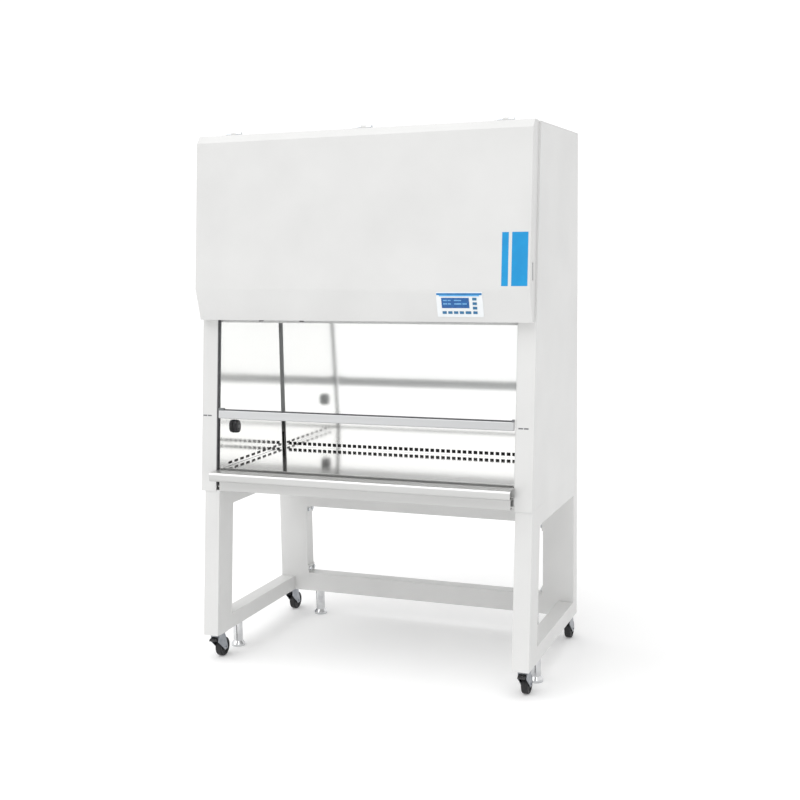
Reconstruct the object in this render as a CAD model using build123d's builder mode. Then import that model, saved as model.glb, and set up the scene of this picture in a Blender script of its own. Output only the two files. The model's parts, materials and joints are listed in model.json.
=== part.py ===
from build123d import *
from math import atan2, cos, radians, sin, tan
import os

os.makedirs("parts", exist_ok=True)

# Biosafety cabinet on its stand. X runs left to right, Y front to back, Z up from the floor.
# The origin is on the floor, in the middle of the whole assembly.

# Cabinet body
cabinet_width = 1340.0
roof_height = 2044.0
base_height = 683.0
front_lean = 5.42  # the front leans back from upright, in degrees
reach_at_floor = 756.5  # rear face to the leaning front plane, measured at the floor
sheet = 2.0
liner_sheet = 1.5
panel_flange = 14.0
rear_flange = 25.0

# Front posts and the slot that the sash glass runs in
post_width = 65.0
post_overhang = 5.0
post_return = 7.0
guide_width = 14.0
glass_setback = 8.0
glass_thickness = 6.0
glass_gap = 0.5
guide_lip = 3.5
guide_above_base = 17.0
guide_below_roof = 54.0

# Work chamber
worktop_rise = 77.0  # worktop above the cabinet's underside
chamber_share = 0.4813  # worktop to ceiling, as a share of worktop to roof
header_drop = 43.0  # the header hangs this much below the ceiling
rear_duct = 100.0
corner_gap = 10.0  # upright return slot between the rear baffle and each side liner
slot_pitch = 27.0
rear_slot_length = 22.0
rear_slot_height = 10.0
rear_slot_rise = 13.0
side_slot_pitch = 48.0
side_slot_length = 30.0
side_slot_start = 70.0

# Base pan, intake grille, tray and armrest
grille_depth = 60.0
grille_slot_width = 15.0
grille_slot_depth = 34.0
tray_lip = 14.0
pan_wall = 1.5
pan_rise = 8.0
ledge_depth = 12.0
armrest_reach = 60.0
armrest_lift = 2.0
armrest_height = 35.0
armrest_nose = 14.0
armrest_sheet = 1.5

# Sash
sash_opening = 194.0  # worktop to the sash's lower edge, as the sash stands
sash_bar_height = 43.0
sash_bar_reach = 13.0
sash_bar_round = 5.0
sash_clamp_height = 22.0
glass_seat = 6.0
glass_above_header = 210.0
glass_side_overlap = 25.0
carriage_height = 60.0
carriage_top_gap = 10.0

# Counterbalance
pulley_radius = 20.0
pulley_width = 12.0
pulley_rim = 3.0
belt_thickness = 2.0
belt_width = 9.0
belt_gap = 0.3
pulley_setback = 48.0
upper_pulley_drop = 84.0  # below the roof
lower_pulley_rise = 180.0  # above the worktop
tie_shaft_radius = 6.0
bearing_boss_radius = 14.0
bearing_boss_length = 22.0
running_gap = 0.05
weight_width = 44.0
weight_depth = 58.0
weight_share = 0.373  # the weight's length as a share of the way between the pulleys
weight_place = 0.57  # its middle, as a share of that way

# Filters, plenum and blower
supply_filter_height = 88.0
exhaust_filter_height = 80.0
exhaust_collar = 74.0  # filter top to roof
exhaust_width_share = 0.463
exhaust_depth_share = 0.7
filter_rim = 20.0
filter_folds_supply = 40
filter_folds_exhaust = 20
filter_paper = 1.2
diffuser_gap = 3.0
diffuser_columns = 10
diffuser_rows = 6
diffuser_open_share = 0.8
roof_slot_rows = 12
roof_slot_columns = 4
roof_slot_open_share = 0.55
impeller_share = 0.358  # impeller radius as a share of the plenum's height
impeller_width = 92.0
impeller_blades = 9
blade_thickness = 2.5
motor_length = 96.0
motor_gap = 8.0
motor_plate = 4.0

# Lamp and service tap
lamp_end_gap = 65.0
lamp_width = 46.0
lamp_height = 30.0
lamp_above_header = 10.0
tap_rise = 152.0  # above the worktop
tap_setback = 145.0
tap_knob_radius = 21.0
tap_knob_length = 30.0
tap_stem_radius = 5.0
tap_bush_radius = 13.0
tap_bush_length = 9.0

# Service door, its hinges and its latch
door_side_gap = 7.0
door_above_roof = 3.0
door_top_depth = 54.0
door_chamfer_height = 28.0
door_face_depth = 74.0
door_above_header = 12.5
band_height = 120.5
door_bottom_depth = 32.5
door_seat_gap = 0.3
hinge_inset = 127.0  # outer hinges, from the cabinet's sides
hinge_width = 62.0
hinge_leaf = 2.5
hinge_leaf_length = 34.0
knuckle_radius = 8.0
hinge_pin_radius = 4.0
latch_above_bend = 57.0
latch_slot_length = 62.0
latch_slot_width = 12.0
latch_setback = 34.0
latch_pin_radius = 1.8

# Control panel on the sloped band of the door
panel_inset = 266.0  # its middle, from the cabinet's right side
panel_width = 172.0
panel_drop = 12.0
panel_height = 92.0
panel_plate = 2.0
display_width = 102.0
display_height = 37.0
display_shift = -16.0
display_drop = 34.0
key_width = 15.0
key_height = 9.0
key_gap = 0.4
key_proud = 1.8
key_travel = 0.8
key_flange = 1.2
key_row_drop = 88.0
key_row_start = -59.0
key_pitch = 21.5
key_column = 56.0
key_column_pitch = 16.6
wide_key = 30.0
wide_key_extra = 5.0

# Stand
stand_inset = 16.0  # the stand is this much narrower than the cabinet, all of it on the left
leg_width = 63.0
leg_depth = 110.0
leg_recess = 3.0
tube_wall = 3.0
lower_beam_height = 60.0
upper_beam_height = 71.0
rear_leg_width = 127.0
rear_leg_depth = 61.0
crossbar_height = 80.0
crossbar_lift = 1.0
upper_crossbar_drop = 113.0  # top of the upper crossbar below the cabinet
end_plate = 5.0
end_plate_extra = 34.0
end_bolt_pitch = 36.0
bolt_radius = 5.0
bolt_head_radius = 8.5
bolt_head_height = 6.4
bolt_clearance = 0.25

# Casters and levelling feet
wheel_radius = 37.5
wheel_width = 26.0
wheel_top_gap = 17.7
caster_trail = 32.0
fork_gap = 2.0
fork_plate = 2.5
fork_crown = 4.0
caster_plate = 4.0
swivel_radius = 24.0
swivel_cup_height = 7.0
swivel_gap = 0.3
kingpin_radius = 6.0
kingpin_length = 16.0
axle_radius = 4.0
pedal_width = 26.0
pedal_reach = 22.0
foot_tube_radius = 19.0
foot_base_radius = 28.0
foot_base_height = 10.0
foot_flare = 12.0
foot_in_beam = 32.0
foot_behind_leg = 105.0
rear_foot_inset = 172.0

# Values that follow from the ones above
slope = tan(radians(front_lean))
half_width = cabinet_width / 2
chamber_half = half_width - post_width
worktop_height = base_height + worktop_rise
chamber_ceiling = worktop_height + chamber_share * (roof_height - worktop_height)
header_bottom = chamber_ceiling - header_drop
armrest_top = worktop_height + armrest_lift
sash_bar_bottom = worktop_height + sash_opening
sash_bar_top = sash_bar_bottom + sash_bar_height
glass_bottom = sash_bar_bottom + glass_seat
glass_top = header_bottom + glass_above_header
upper_pulley_height = roof_height - upper_pulley_drop
lower_pulley_height = worktop_height + lower_pulley_rise
guide_foot = base_height + guide_above_base
guide_head = roof_height - guide_below_roof
exhaust_top = roof_height - exhaust_collar
plenum_top = exhaust_top - exhaust_filter_height
door_top_height = roof_height + door_above_roof
door_bottom_height = header_bottom + door_above_header
door_bend_height = door_bottom_height + band_height
latch_middle = door_bend_height + latch_above_bend
tap_height = worktop_height + tap_rise
panel_middle = half_width - panel_inset
armrest_front = reach_at_floor - armrest_top * slope + armrest_reach
rear_overhang = caster_trail - rear_leg_depth / 2 + wheel_radius
rear_face = (armrest_front - rear_overhang) / 2
rear_wall = rear_face - rear_duct
glass_back = glass_setback + glass_thickness
header_setback = glass_back + glass_gap + guide_lip
crown_low = 2 * wheel_radius + wheel_top_gap
crown_top = crown_low + fork_crown
cup_top = crown_top + swivel_cup_height
frame_bottom = cup_top + swivel_gap + caster_plate
upper_beam_bottom = base_height - upper_beam_height
upper_crossbar_bottom = base_height - upper_crossbar_drop - crossbar_height


def front(height):
    """Y of the leaning front plane at a height."""
    return rear_face - reach_at_floor + height * slope


def leaning_slab(low, high, near, far):
    """Side outline that follows the front, between two setbacks behind it."""
    return Polygon(
        (front(low) + near, low),
        (front(low) + far, low),
        (front(high) + far, high),
        (front(high) + near, high),
        align=None,
    )


def slab_box(left, right, low, high, near, far, mode=Mode.ADD):
    """Sheet or bar that follows the front plane, from one X to another."""
    with BuildSketch(Plane.YZ.offset(left)) as outline:
        leaning_slab(low, high, near, far)
    extrude(outline.sketch, amount=right - left, mode=mode)


def straight_box(left, right, near, far, low, high, mode=Mode.ADD):
    """Upright box between two values of each of X, Y and Z."""
    with BuildSketch(Plane.XY.offset(low)) as outline:
        with Locations(((left + right) / 2, (near + far) / 2)):
            Rectangle(right - left, far - near)
    extrude(outline.sketch, amount=high - low, mode=mode)


# Side panels: outer skin, front and rear returns, and the bosses that carry the pulleys
pulley_line = -(half_width - sheet) + bearing_boss_length + swivel_gap + pulley_width / 2
boss_end = -(half_width - sheet) + bearing_boss_length

with BuildPart() as side_panel_left:
    with BuildSketch(Plane.YZ.offset(-half_width)):
        Polygon(
            (front(base_height) + sheet, base_height),
            (rear_face, base_height),
            (rear_face, roof_height - sheet),
            (front(roof_height - sheet) + sheet, roof_height - sheet),
            align=None,
        )
    extrude(amount=sheet)
    slab_box(-half_width, -half_width + panel_flange, base_height, roof_height - sheet, sheet, 2 * sheet)
    straight_box(
        -half_width,
        -half_width + rear_flange,
        rear_face - 2 * sheet,
        rear_face - sheet,
        base_height,
        roof_height - sheet,
    )
    straight_box(
        -half_width,
        -half_width + rear_flange,
        front(base_height) + rear_flange,
        rear_face - sheet,
        base_height,
        base_height + sheet,
    )
    for height in (upper_pulley_height, lower_pulley_height):
        with BuildSketch(Plane.YZ.offset(-half_width + sheet)):
            with Locations((front(height) + pulley_setback, height)):
                Circle(bearing_boss_radius)
        extrude(amount=bearing_boss_length)
    with BuildSketch(Plane.YZ.offset(-half_width + sheet)):
        with Locations((front(upper_pulley_height) + pulley_setback, upper_pulley_height)):
            Circle(tie_shaft_radius + running_gap)
    extrude(amount=bearing_boss_length, mode=Mode.SUBTRACT)
    with BuildSketch(Plane.YZ.offset(boss_end)):
        with Locations((front(lower_pulley_height) + pulley_setback, lower_pulley_height)):
            Circle(tie_shaft_radius - running_gap)
    extrude(amount=pulley_width + 2 * swivel_gap)
side_panel_left.part.label = "side_panel_left"
export_step(side_panel_left.part, "parts/side_panel_left.step")

with BuildPart() as side_panel_right:
    mirror(side_panel_left.part, about=Plane.YZ)
side_panel_right.part.label = "side_panel_right"
export_step(side_panel_right.part, "parts/side_panel_right.step")

# Rear panel: one flat sheet screwed over the rear returns
with BuildPart() as rear_panel:
    straight_box(
        -half_width + sheet,
        half_width - sheet,
        rear_face - sheet,
        rear_face,
        base_height,
        roof_height - sheet,
    )
rear_panel.part.label = "rear_panel"
export_step(rear_panel.part, "parts/rear_panel.step")

# Front posts: full-height covers whose inner returns carry the front half of the sash guides
with BuildPart() as front_posts:
    slab_box(-half_width, -chamber_half, base_height - post_overhang, roof_height - sheet, 0, sheet)
    slab_box(
        -chamber_half - sheet,
        -chamber_half,
        base_height,
        roof_height - sheet,
        0,
        post_return,
    )
    mirror(about=Plane.YZ)
front_posts.part.label = "front_posts"
export_step(front_posts.part, "parts/front_posts.step")

# Sash guides: a front and a rear strip at each side, with the glass between them
guide_front = sheet
guide_mid_front = glass_setback - glass_gap
guide_mid_rear = glass_back + glass_gap
with BuildPart() as sash_guides:
    slab_box(
        -chamber_half,
        -chamber_half + guide_width,
        guide_foot,
        guide_head,
        guide_front,
        guide_mid_front,
    )
    slab_box(
        -chamber_half,
        -chamber_half + guide_width,
        guide_foot,
        guide_head,
        guide_mid_rear,
        header_setback,
    )
    mirror(about=Plane.YZ)
sash_guides.part.label = "sash_guides"
export_step(sash_guides.part, "parts/sash_guides.step")

# Roof: sheet with an exhaust grille of slots and a collar down to the exhaust filter
exhaust_room = rear_wall - front(roof_height) - header_setback
exhaust_filter_width = exhaust_width_share * cabinet_width
exhaust_filter_depth = exhaust_depth_share * exhaust_room
exhaust_middle = rear_wall - exhaust_filter_depth / 2 - filter_rim
collar_half_width = exhaust_filter_width / 2 - filter_rim
collar_half_depth = exhaust_filter_depth / 2 - filter_rim
with BuildPart() as roof_panel:
    straight_box(
        -half_width,
        half_width,
        front(roof_height),
        rear_face,
        roof_height - sheet,
        roof_height,
    )
    with BuildSketch(Plane.XY.offset(exhaust_top)):
        with Locations((0, exhaust_middle)):
            Rectangle(2 * collar_half_width + 2 * sheet, 2 * collar_half_depth + 2 * sheet)
            Rectangle(2 * collar_half_width, 2 * collar_half_depth, mode=Mode.SUBTRACT)
    extrude(amount=roof_height - sheet - exhaust_top)
    slot_step_x = 2 * collar_half_width / roof_slot_columns
    slot_step_y = 2 * collar_half_depth / roof_slot_rows
    with BuildSketch(Plane.XY.offset(roof_height - sheet)):
        with Locations((0, exhaust_middle)):
            with GridLocations(slot_step_x, slot_step_y, roof_slot_columns, roof_slot_rows):
                Rectangle(0.9 * slot_step_x, roof_slot_open_share * slot_step_y)
    extrude(amount=sheet, mode=Mode.SUBTRACT)
roof_panel.part.label = "roof_panel"
export_step(roof_panel.part, "parts/roof_panel.step")

# Plenum: pressure box with the header as its front wall, open to both filters and the blower
deck_height = chamber_ceiling + diffuser_gap + supply_filter_height + sheet
plenum_front = front(deck_height) + header_setback + sheet
blower_height = (deck_height + plenum_top) / 2 + 4.5
impeller_radius = impeller_share * (plenum_top - deck_height)
inlet_radius = 0.64 * impeller_radius
inlet_lip = 16.0
with BuildPart() as plenum_box:
    slab_box(
        -chamber_half,
        chamber_half,
        header_bottom,
        roof_height - sheet,
        header_setback,
        header_setback + sheet,
    )
    straight_box(
        -chamber_half,
        chamber_half,
        rear_wall,
        rear_wall + sheet,
        chamber_ceiling,
        plenum_top,
    )
    for side in (-1, 1):
        wall_left = min(side * chamber_half, side * (chamber_half - sheet))
        with BuildSketch(Plane.YZ.offset(wall_left)):
            Polygon(
                (front(chamber_ceiling) + header_setback, chamber_ceiling),
                (rear_wall + sheet, chamber_ceiling),
                (rear_wall + sheet, plenum_top),
                (front(plenum_top) + header_setback, plenum_top),
                align=None,
            )
        extrude(amount=sheet)
    for deck in (deck_height, plenum_top):
        straight_box(
            -chamber_half,
            chamber_half,
            front(deck) + header_setback,
            rear_wall + sheet,
            deck - sheet,
            deck,
        )
    straight_box(
        -chamber_half + 2 * filter_rim,
        chamber_half - 2 * filter_rim,
        plenum_front + 2 * filter_rim,
        rear_wall - 2 * filter_rim,
        deck_height - sheet,
        deck_height,
        Mode.SUBTRACT,
    )
    with BuildSketch(Plane.XY.offset(plenum_top - sheet)):
        with Locations((0, exhaust_middle)):
            Rectangle(2 * collar_half_width, 2 * collar_half_depth)
    extrude(amount=sheet, mode=Mode.SUBTRACT)
    with BuildSketch(Plane.XZ.offset(-rear_wall - sheet)):
        with Locations((0, blower_height)):
            Circle(inlet_radius)
    extrude(amount=sheet, mode=Mode.SUBTRACT)
plenum_box.part.label = "plenum_box"
export_step(plenum_box.part, "parts/plenum_box.step")


def pleated_filter(width, near, far, low, high, folds):
    """Filter frame with a folded paper pack that fills it from side to side."""
    middle = (near + far) / 2
    with BuildSketch(Plane.XY.offset(low)) as rim:
        with Locations((0, middle)):
            Rectangle(width, far - near)
            Rectangle(width - 2 * filter_rim, far - near - 2 * filter_rim, mode=Mode.SUBTRACT)
    extrude(rim.sketch, amount=high - low)
    pitch = (width - 2 * filter_rim) / folds
    start = -width / 2 + filter_rim
    low_line = low + filter_rim / 2
    high_line = high - filter_rim / 2
    top_edge = []
    bottom_edge = []
    for fold in range(folds):
        x = start + fold * pitch
        top_edge += [(x, low_line + filter_paper), (x + pitch / 2, high_line)]
        bottom_edge += [(x, low_line), (x + pitch / 2, high_line - filter_paper)]
    end = start + folds * pitch
    top_edge.append((end, low_line + filter_paper))
    bottom_edge.append((end, low_line))
    with BuildSketch(Plane.XZ.offset(-far + filter_rim)) as folds_outline:
        Polygon(*(top_edge + bottom_edge[::-1]), align=None)
    extrude(folds_outline.sketch, amount=far - near - 2 * filter_rim)


# Supply filter: frame and pleats under the plenum
supply_near = front(deck_height) + header_setback + sheet
supply_far = rear_wall
supply_half = chamber_half - sheet
with BuildPart() as supply_filter:
    pleated_filter(
        2 * supply_half,
        supply_near,
        supply_far,
        chamber_ceiling + diffuser_gap,
        deck_height - sheet,
        filter_folds_supply,
    )
supply_filter.part.label = "supply_filter"
export_step(supply_filter.part, "parts/supply_filter.step")

# Diffuser: slotted sheet with two turned-up rims under the supply filter
with BuildPart() as diffuser:
    straight_box(
        -supply_half,
        supply_half,
        supply_near,
        supply_far,
        chamber_ceiling,
        chamber_ceiling + liner_sheet,
    )
    for side in (-1, 1):
        rim_near = min(side * supply_half, side * (supply_half - liner_sheet))
        straight_box(
            rim_near,
            rim_near + liner_sheet,
            supply_near,
            supply_far,
            chamber_ceiling,
            chamber_ceiling + diffuser_gap,
        )
    with BuildSketch(Plane.XY.offset(chamber_ceiling)):
        with Locations((0, (supply_near + supply_far) / 2)):
            diffuser_step_x = 2 * supply_half / (diffuser_columns + 0.5)
            diffuser_step_y = (supply_far - supply_near) / (diffuser_rows + 0.5)
            with GridLocations(diffuser_step_x, diffuser_step_y, diffuser_columns, diffuser_rows):
                Rectangle(diffuser_open_share * diffuser_step_x, diffuser_open_share * diffuser_step_y)
    extrude(amount=liner_sheet, mode=Mode.SUBTRACT)
diffuser.part.label = "diffuser"
export_step(diffuser.part, "parts/diffuser.step")

# Exhaust filter: a smaller one that stands on top of the plenum
with BuildPart() as exhaust_filter:
    pleated_filter(
        exhaust_filter_width,
        exhaust_middle - exhaust_filter_depth / 2,
        exhaust_middle + exhaust_filter_depth / 2,
        plenum_top,
        exhaust_top,
        filter_folds_exhaust,
    )
exhaust_filter.part.label = "exhaust_filter"
export_step(exhaust_filter.part, "parts/exhaust_filter.step")

# Blower frame: bell-mouth inlet ring on the rear wall, four rods and the motor they hold
impeller_back = rear_wall - inlet_lip - 2.0
impeller_front = impeller_back - impeller_width
motor_back = impeller_front - motor_gap
motor_radius = 0.41 * impeller_radius
motor_shaft_radius = 0.06 * impeller_radius
rod_circle = 1.15 * impeller_radius
rod_radius = 0.04 * impeller_radius
inlet_ring = 0.2 * impeller_radius
with BuildPart() as blower_frame:
    with BuildSketch(Plane.YZ):
        with Locations((0, blower_height)):
            Polygon(
                (rear_wall, inlet_radius + inlet_ring),
                (rear_wall - 3, inlet_radius + inlet_ring),
                (rear_wall - 3, 0.94 * inlet_radius),
                (rear_wall - inlet_lip, 0.8 * inlet_radius),
                (rear_wall - inlet_lip, 0.77 * inlet_radius),
                (rear_wall, 0.91 * inlet_radius),
                align=None,
            )
    revolve(axis=Axis((0, 0, blower_height), (0, 1, 0)))
    with BuildSketch(Plane.XZ.offset(-rear_wall + 3)):
        with Locations((0, blower_height)):
            Rectangle(2 * rod_circle, 2 * rod_circle)
            Circle(inlet_radius + inlet_ring / 2, mode=Mode.SUBTRACT)
    extrude(amount=-3)
    with BuildSketch(Plane.XZ.offset(-rear_wall + 3)):
        with Locations((0, blower_height)):
            with PolarLocations(rod_circle, 4, 45):
                Circle(rod_radius)
    extrude(amount=rear_wall - 3 - motor_back)
    with BuildSketch(Plane.XZ.offset(-motor_back)):
        with Locations((0, blower_height)):
            Rectangle(2 * rod_circle, 1.8 * motor_radius, rotation=45)
            Rectangle(1.8 * motor_radius, 2 * rod_circle, rotation=45)
            Circle(1.4 * motor_shaft_radius, mode=Mode.SUBTRACT)
    extrude(amount=motor_plate)
    with BuildSketch(Plane.XZ.offset(-motor_back + motor_plate)):
        with Locations((0, blower_height)):
            Circle(motor_radius)
            Circle(motor_shaft_radius + running_gap, mode=Mode.SUBTRACT)
    extrude(amount=motor_length)
    motor_rims = blower_frame.faces().sort_by(Axis.Y)[0].edges().filter_by(GeomType.CIRCLE)
    chamfer(motor_rims.sort_by(SortBy.RADIUS)[-1], 0.1 * motor_radius)
blower_frame.part.label = "blower_frame"
export_step(blower_frame.part, "parts/blower_frame.step")

# Impeller: back plate, backward-curved blades, inlet shroud, hub and shaft
shroud_radius = 0.94 * inlet_radius
with BuildSketch() as blade:
    with BuildLine():
        camber = ThreePointArc(
            (0.41 * impeller_radius, 0),
            (0.69 * impeller_radius, 0.17 * impeller_radius),
            (0.92 * impeller_radius, 0.36 * impeller_radius),
        )
        offset(camber, amount=blade_thickness / 2, side=Side.BOTH)
    make_face()
with BuildPart() as blower_impeller:
    with BuildSketch(Plane.XZ.offset(-impeller_front)):
        with Locations((0, blower_height)):
            Circle(impeller_radius)
    extrude(amount=-3)
    with BuildSketch(Plane.XZ.offset(-impeller_front)):
        with Locations((0, blower_height)):
            Circle(0.2 * impeller_radius)
    extrude(amount=-0.43 * impeller_width, taper=8)
    with BuildSketch(Plane.XZ.offset(-motor_back + motor_plate + motor_length - 10)):
        with Locations((0, blower_height)):
            Circle(motor_shaft_radius)
    extrude(amount=-(motor_plate + motor_length - 10 + motor_gap))
    with BuildSketch(Plane.XZ.offset(-impeller_front - 3)):
        with Locations((0, blower_height)):
            with PolarLocations(0, impeller_blades):
                add(blade.sketch)
    extrude(amount=8 - impeller_width)
    with BuildSketch(Plane.YZ):
        with BuildLine():
            Polyline(
                (impeller_back - 6, blower_height + impeller_radius),
                (impeller_back - 3, blower_height + impeller_radius),
                (impeller_back + 2, blower_height + shroud_radius),
                (impeller_back - 1, blower_height + shroud_radius),
                close=True,
            )
        make_face()
    revolve(axis=Axis((0, 0, blower_height), (0, 1, 0)))
blower_impeller.part.label = "blower_impeller"
export_step(blower_impeller.part, "parts/blower_impeller.step")

# Work chamber: side liners with base slots, the left one with the bush of the service tap
liner_front = glass_back + glass_gap + 1.0
liner_foot = base_height + pan_rise
liner_head = chamber_ceiling + 22.0
slot_centre = worktop_height + rear_slot_rise
side_slots_from = front(slot_centre) + side_slot_start
side_slot_count = int((rear_wall - side_slots_from) / side_slot_pitch)
tap_y = front(tap_height) + tap_setback
with BuildPart() as side_liners:
    for side in (-1, 1):
        liner_left = min(side * chamber_half, side * (chamber_half + liner_sheet))
        with BuildSketch(Plane.YZ.offset(liner_left)):
            Polygon(
                (front(liner_foot) + liner_front, liner_foot),
                (rear_wall, liner_foot),
                (rear_wall, liner_head),
                (front(liner_head) + liner_front, liner_head),
                align=None,
            )
            with Locations(((side_slots_from + rear_wall) / 2, slot_centre)):
                with GridLocations(side_slot_pitch, 1, side_slot_count, 1):
                    Rectangle(side_slot_length, rear_slot_height, mode=Mode.SUBTRACT)
        extrude(amount=liner_sheet)
    with BuildSketch(Plane.YZ.offset(-chamber_half)):
        with Locations((tap_y, tap_height)):
            Circle(tap_bush_radius)
    extrude(amount=tap_bush_length)
    with BuildSketch(Plane.YZ.offset(-chamber_half - liner_sheet)):
        with Locations((tap_y, tap_height)):
            Circle(tap_stem_radius + running_gap)
    extrude(amount=liner_sheet + tap_bush_length, mode=Mode.SUBTRACT)
side_liners.part.label = "side_liners"
export_step(side_liners.part, "parts/side_liners.step")

# Tap knob: lobed knob on a stem that turns in the bush
with BuildPart() as tap_knob:
    with BuildSketch(Plane.YZ.offset(-chamber_half + tap_bush_length + swivel_gap)):
        with Locations((tap_y, tap_height)):
            Circle(tap_knob_radius - 4)
            with PolarLocations(tap_knob_radius - 8, 3, 90):
                Circle(8)
    extrude(amount=tap_knob_length)
    chamfer(tap_knob.faces().sort_by(Axis.X)[-1].edges(), 1.5)
    with BuildSketch(Plane.YZ.offset(-chamber_half - 12)):
        with Locations((tap_y, tap_height)):
            Circle(tap_stem_radius)
    extrude(amount=12 + tap_bush_length + swivel_gap + 1)
tap_knob.part.label = "tap_knob"
export_step(tap_knob.part, "parts/tap_knob.step")

# Rear baffle: sheet with a row of slots just above the worktop
rear_slot_count = int((2 * (chamber_half - corner_gap) - slot_pitch) / slot_pitch) + 1
with BuildPart() as rear_baffle:
    with BuildSketch(Plane.XZ.offset(-rear_wall - liner_sheet)):
        with Locations((0, (liner_foot + chamber_ceiling) / 2)):
            Rectangle(2 * (chamber_half - corner_gap), chamber_ceiling - liner_foot)
        with Locations((0, slot_centre)):
            with GridLocations(slot_pitch, 1, rear_slot_count, 1):
                Rectangle(rear_slot_length, rear_slot_height, mode=Mode.SUBTRACT)
    extrude(amount=liner_sheet)
rear_baffle.part.label = "rear_baffle"
export_step(rear_baffle.part, "parts/rear_baffle.step")

# Drain pan: open box under the tray, with a ledge all round that the tray rests on
pan_near = front(worktop_height) + header_setback + 2.0
grille_rear = front(worktop_height) + grille_depth
tray_near = grille_rear + 0.5
tray_far = rear_wall - 1.0
tray_half = chamber_half - 2.0
ledge_top = worktop_height - tray_lip
pan_half = chamber_half - 0.5
with BuildPart() as drain_pan:
    straight_box(-pan_half, pan_half, pan_near, rear_wall, liner_foot, worktop_height - pan_wall)
    straight_box(
        -pan_half + pan_wall,
        pan_half - pan_wall,
        pan_near + pan_wall,
        rear_wall - pan_wall,
        liner_foot + pan_wall,
        worktop_height,
        Mode.SUBTRACT,
    )
    for side in (-1, 1):
        straight_box(
            min(side * pan_half, side * (pan_half - ledge_depth)),
            max(side * pan_half, side * (pan_half - ledge_depth)),
            pan_near,
            rear_wall,
            ledge_top - 3,
            ledge_top,
        )
    for near in (tray_near - 2, rear_wall - ledge_depth):
        straight_box(-pan_half, pan_half, near, near + ledge_depth, ledge_top - 3, ledge_top)
    straight_box(
        -pan_half,
        pan_half,
        tray_near - 1,
        rear_wall,
        ledge_top,
        worktop_height,
        Mode.SUBTRACT,
    )
drain_pan.part.label = "drain_pan"
export_step(drain_pan.part, "parts/drain_pan.step")

# Work tray: lift-out worktop, a polished sheet with its edges turned down
with BuildPart() as work_tray:
    straight_box(-tray_half, tray_half, tray_near, tray_far, ledge_top, worktop_height)
    straight_box(
        -tray_half + sheet,
        tray_half - sheet,
        tray_near + sheet,
        tray_far - sheet,
        ledge_top,
        worktop_height - sheet,
        Mode.SUBTRACT,
    )
work_tray.part.label = "work_tray"
export_step(work_tray.part, "parts/work_tray.step")

# Intake grille: slotted strip between the armrest and the tray
inner_half = chamber_half - guide_width - 1.0
grille_front = front(worktop_height) + 0.5
grille_slots = int((2 * inner_half - slot_pitch) / slot_pitch) + 1
with BuildPart() as front_grille:
    with BuildSketch(Plane.XY.offset(worktop_height - pan_wall)):
        with Locations((0, (grille_front + grille_rear) / 2)):
            Rectangle(2 * inner_half, grille_rear - grille_front)
        with Locations((0, (pan_near + grille_rear) / 2)):
            Rectangle(2 * tray_half, grille_rear - pan_near)
        with Locations((0, (grille_front + grille_rear) / 2)):
            with GridLocations(slot_pitch, 1, grille_slots, 1):
                Rectangle(grille_slot_width, grille_slot_depth, mode=Mode.SUBTRACT)
    extrude(amount=pan_wall)
    straight_box(
        -inner_half,
        inner_half,
        grille_front,
        grille_front + pan_wall,
        armrest_top - armrest_height,
        worktop_height,
    )
front_grille.part.label = "front_grille"
export_step(front_grille.part, "parts/front_grille.step")

# Armrest: bent sheet with a rounded nose and rounded ends, open at the back
armrest_low = armrest_top - armrest_height
armrest_half = chamber_half - 1.0
armrest_back = front(armrest_top)
armrest_nose_y = armrest_back - armrest_reach
with BuildPart() as armrest:
    with BuildSketch(Plane.YZ.offset(-armrest_half)) as armrest_outline:
        Polygon(
            (front(armrest_low), armrest_low),
            (armrest_back, armrest_top),
            (armrest_nose_y, armrest_top),
            (armrest_nose_y, armrest_low),
            align=None,
        )
        nose_corners = armrest_outline.vertices().filter_by_position(
            Axis.Y, armrest_nose_y - 1, armrest_nose_y + 1
        )
        fillet(nose_corners, armrest_nose)
    extrude(amount=2 * armrest_half)
    with BuildSketch(Plane.YZ.offset(-armrest_half + armrest_sheet)) as armrest_inner:
        Polygon(
            (armrest_back + 10, armrest_low + armrest_sheet),
            (armrest_back + 10, armrest_top - armrest_sheet),
            (armrest_nose_y + armrest_sheet, armrest_top - armrest_sheet),
            (armrest_nose_y + armrest_sheet, armrest_low + armrest_sheet),
            align=None,
        )
        inner_corners = armrest_inner.vertices().filter_by_position(
            Axis.Y, armrest_nose_y, armrest_nose_y + 5
        )
        fillet(inner_corners, armrest_nose - armrest_sheet)
    extrude(amount=2 * (armrest_half - armrest_sheet), mode=Mode.SUBTRACT)
armrest.part.label = "armrest"
export_step(armrest.part, "parts/armrest.step")

# Lower front panel: closes the base between the posts, below the armrest
with BuildPart() as lower_front_panel:
    slab_box(-inner_half, inner_half, base_height, armrest_low, 0, sheet)
    slab_box(-inner_half, inner_half, base_height, base_height + sheet, 0, rear_flange)
    slab_box(-inner_half, inner_half, armrest_low - sheet, armrest_low, 0, header_setback)
lower_front_panel.part.label = "lower_front_panel"
export_step(lower_front_panel.part, "parts/lower_front_panel.step")

# Work lamp: long housing fixed behind the header, with its lens at the bottom
lamp_low = header_bottom + lamp_above_header
lamp_length = 2 * (chamber_half - lamp_end_gap)
with BuildPart() as work_lamp:
    slab_box(
        -lamp_length / 2,
        lamp_length / 2,
        lamp_low,
        lamp_low + lamp_height,
        header_setback + sheet,
        header_setback + sheet + lamp_width,
    )
    slab_box(
        -lamp_length / 2 + 8,
        lamp_length / 2 - 8,
        lamp_low - 3,
        lamp_low,
        header_setback + sheet + 6,
        header_setback + sheet + lamp_width - 6,
    )
work_lamp.part.label = "work_lamp"
export_step(work_lamp.part, "parts/work_lamp.step")

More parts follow.
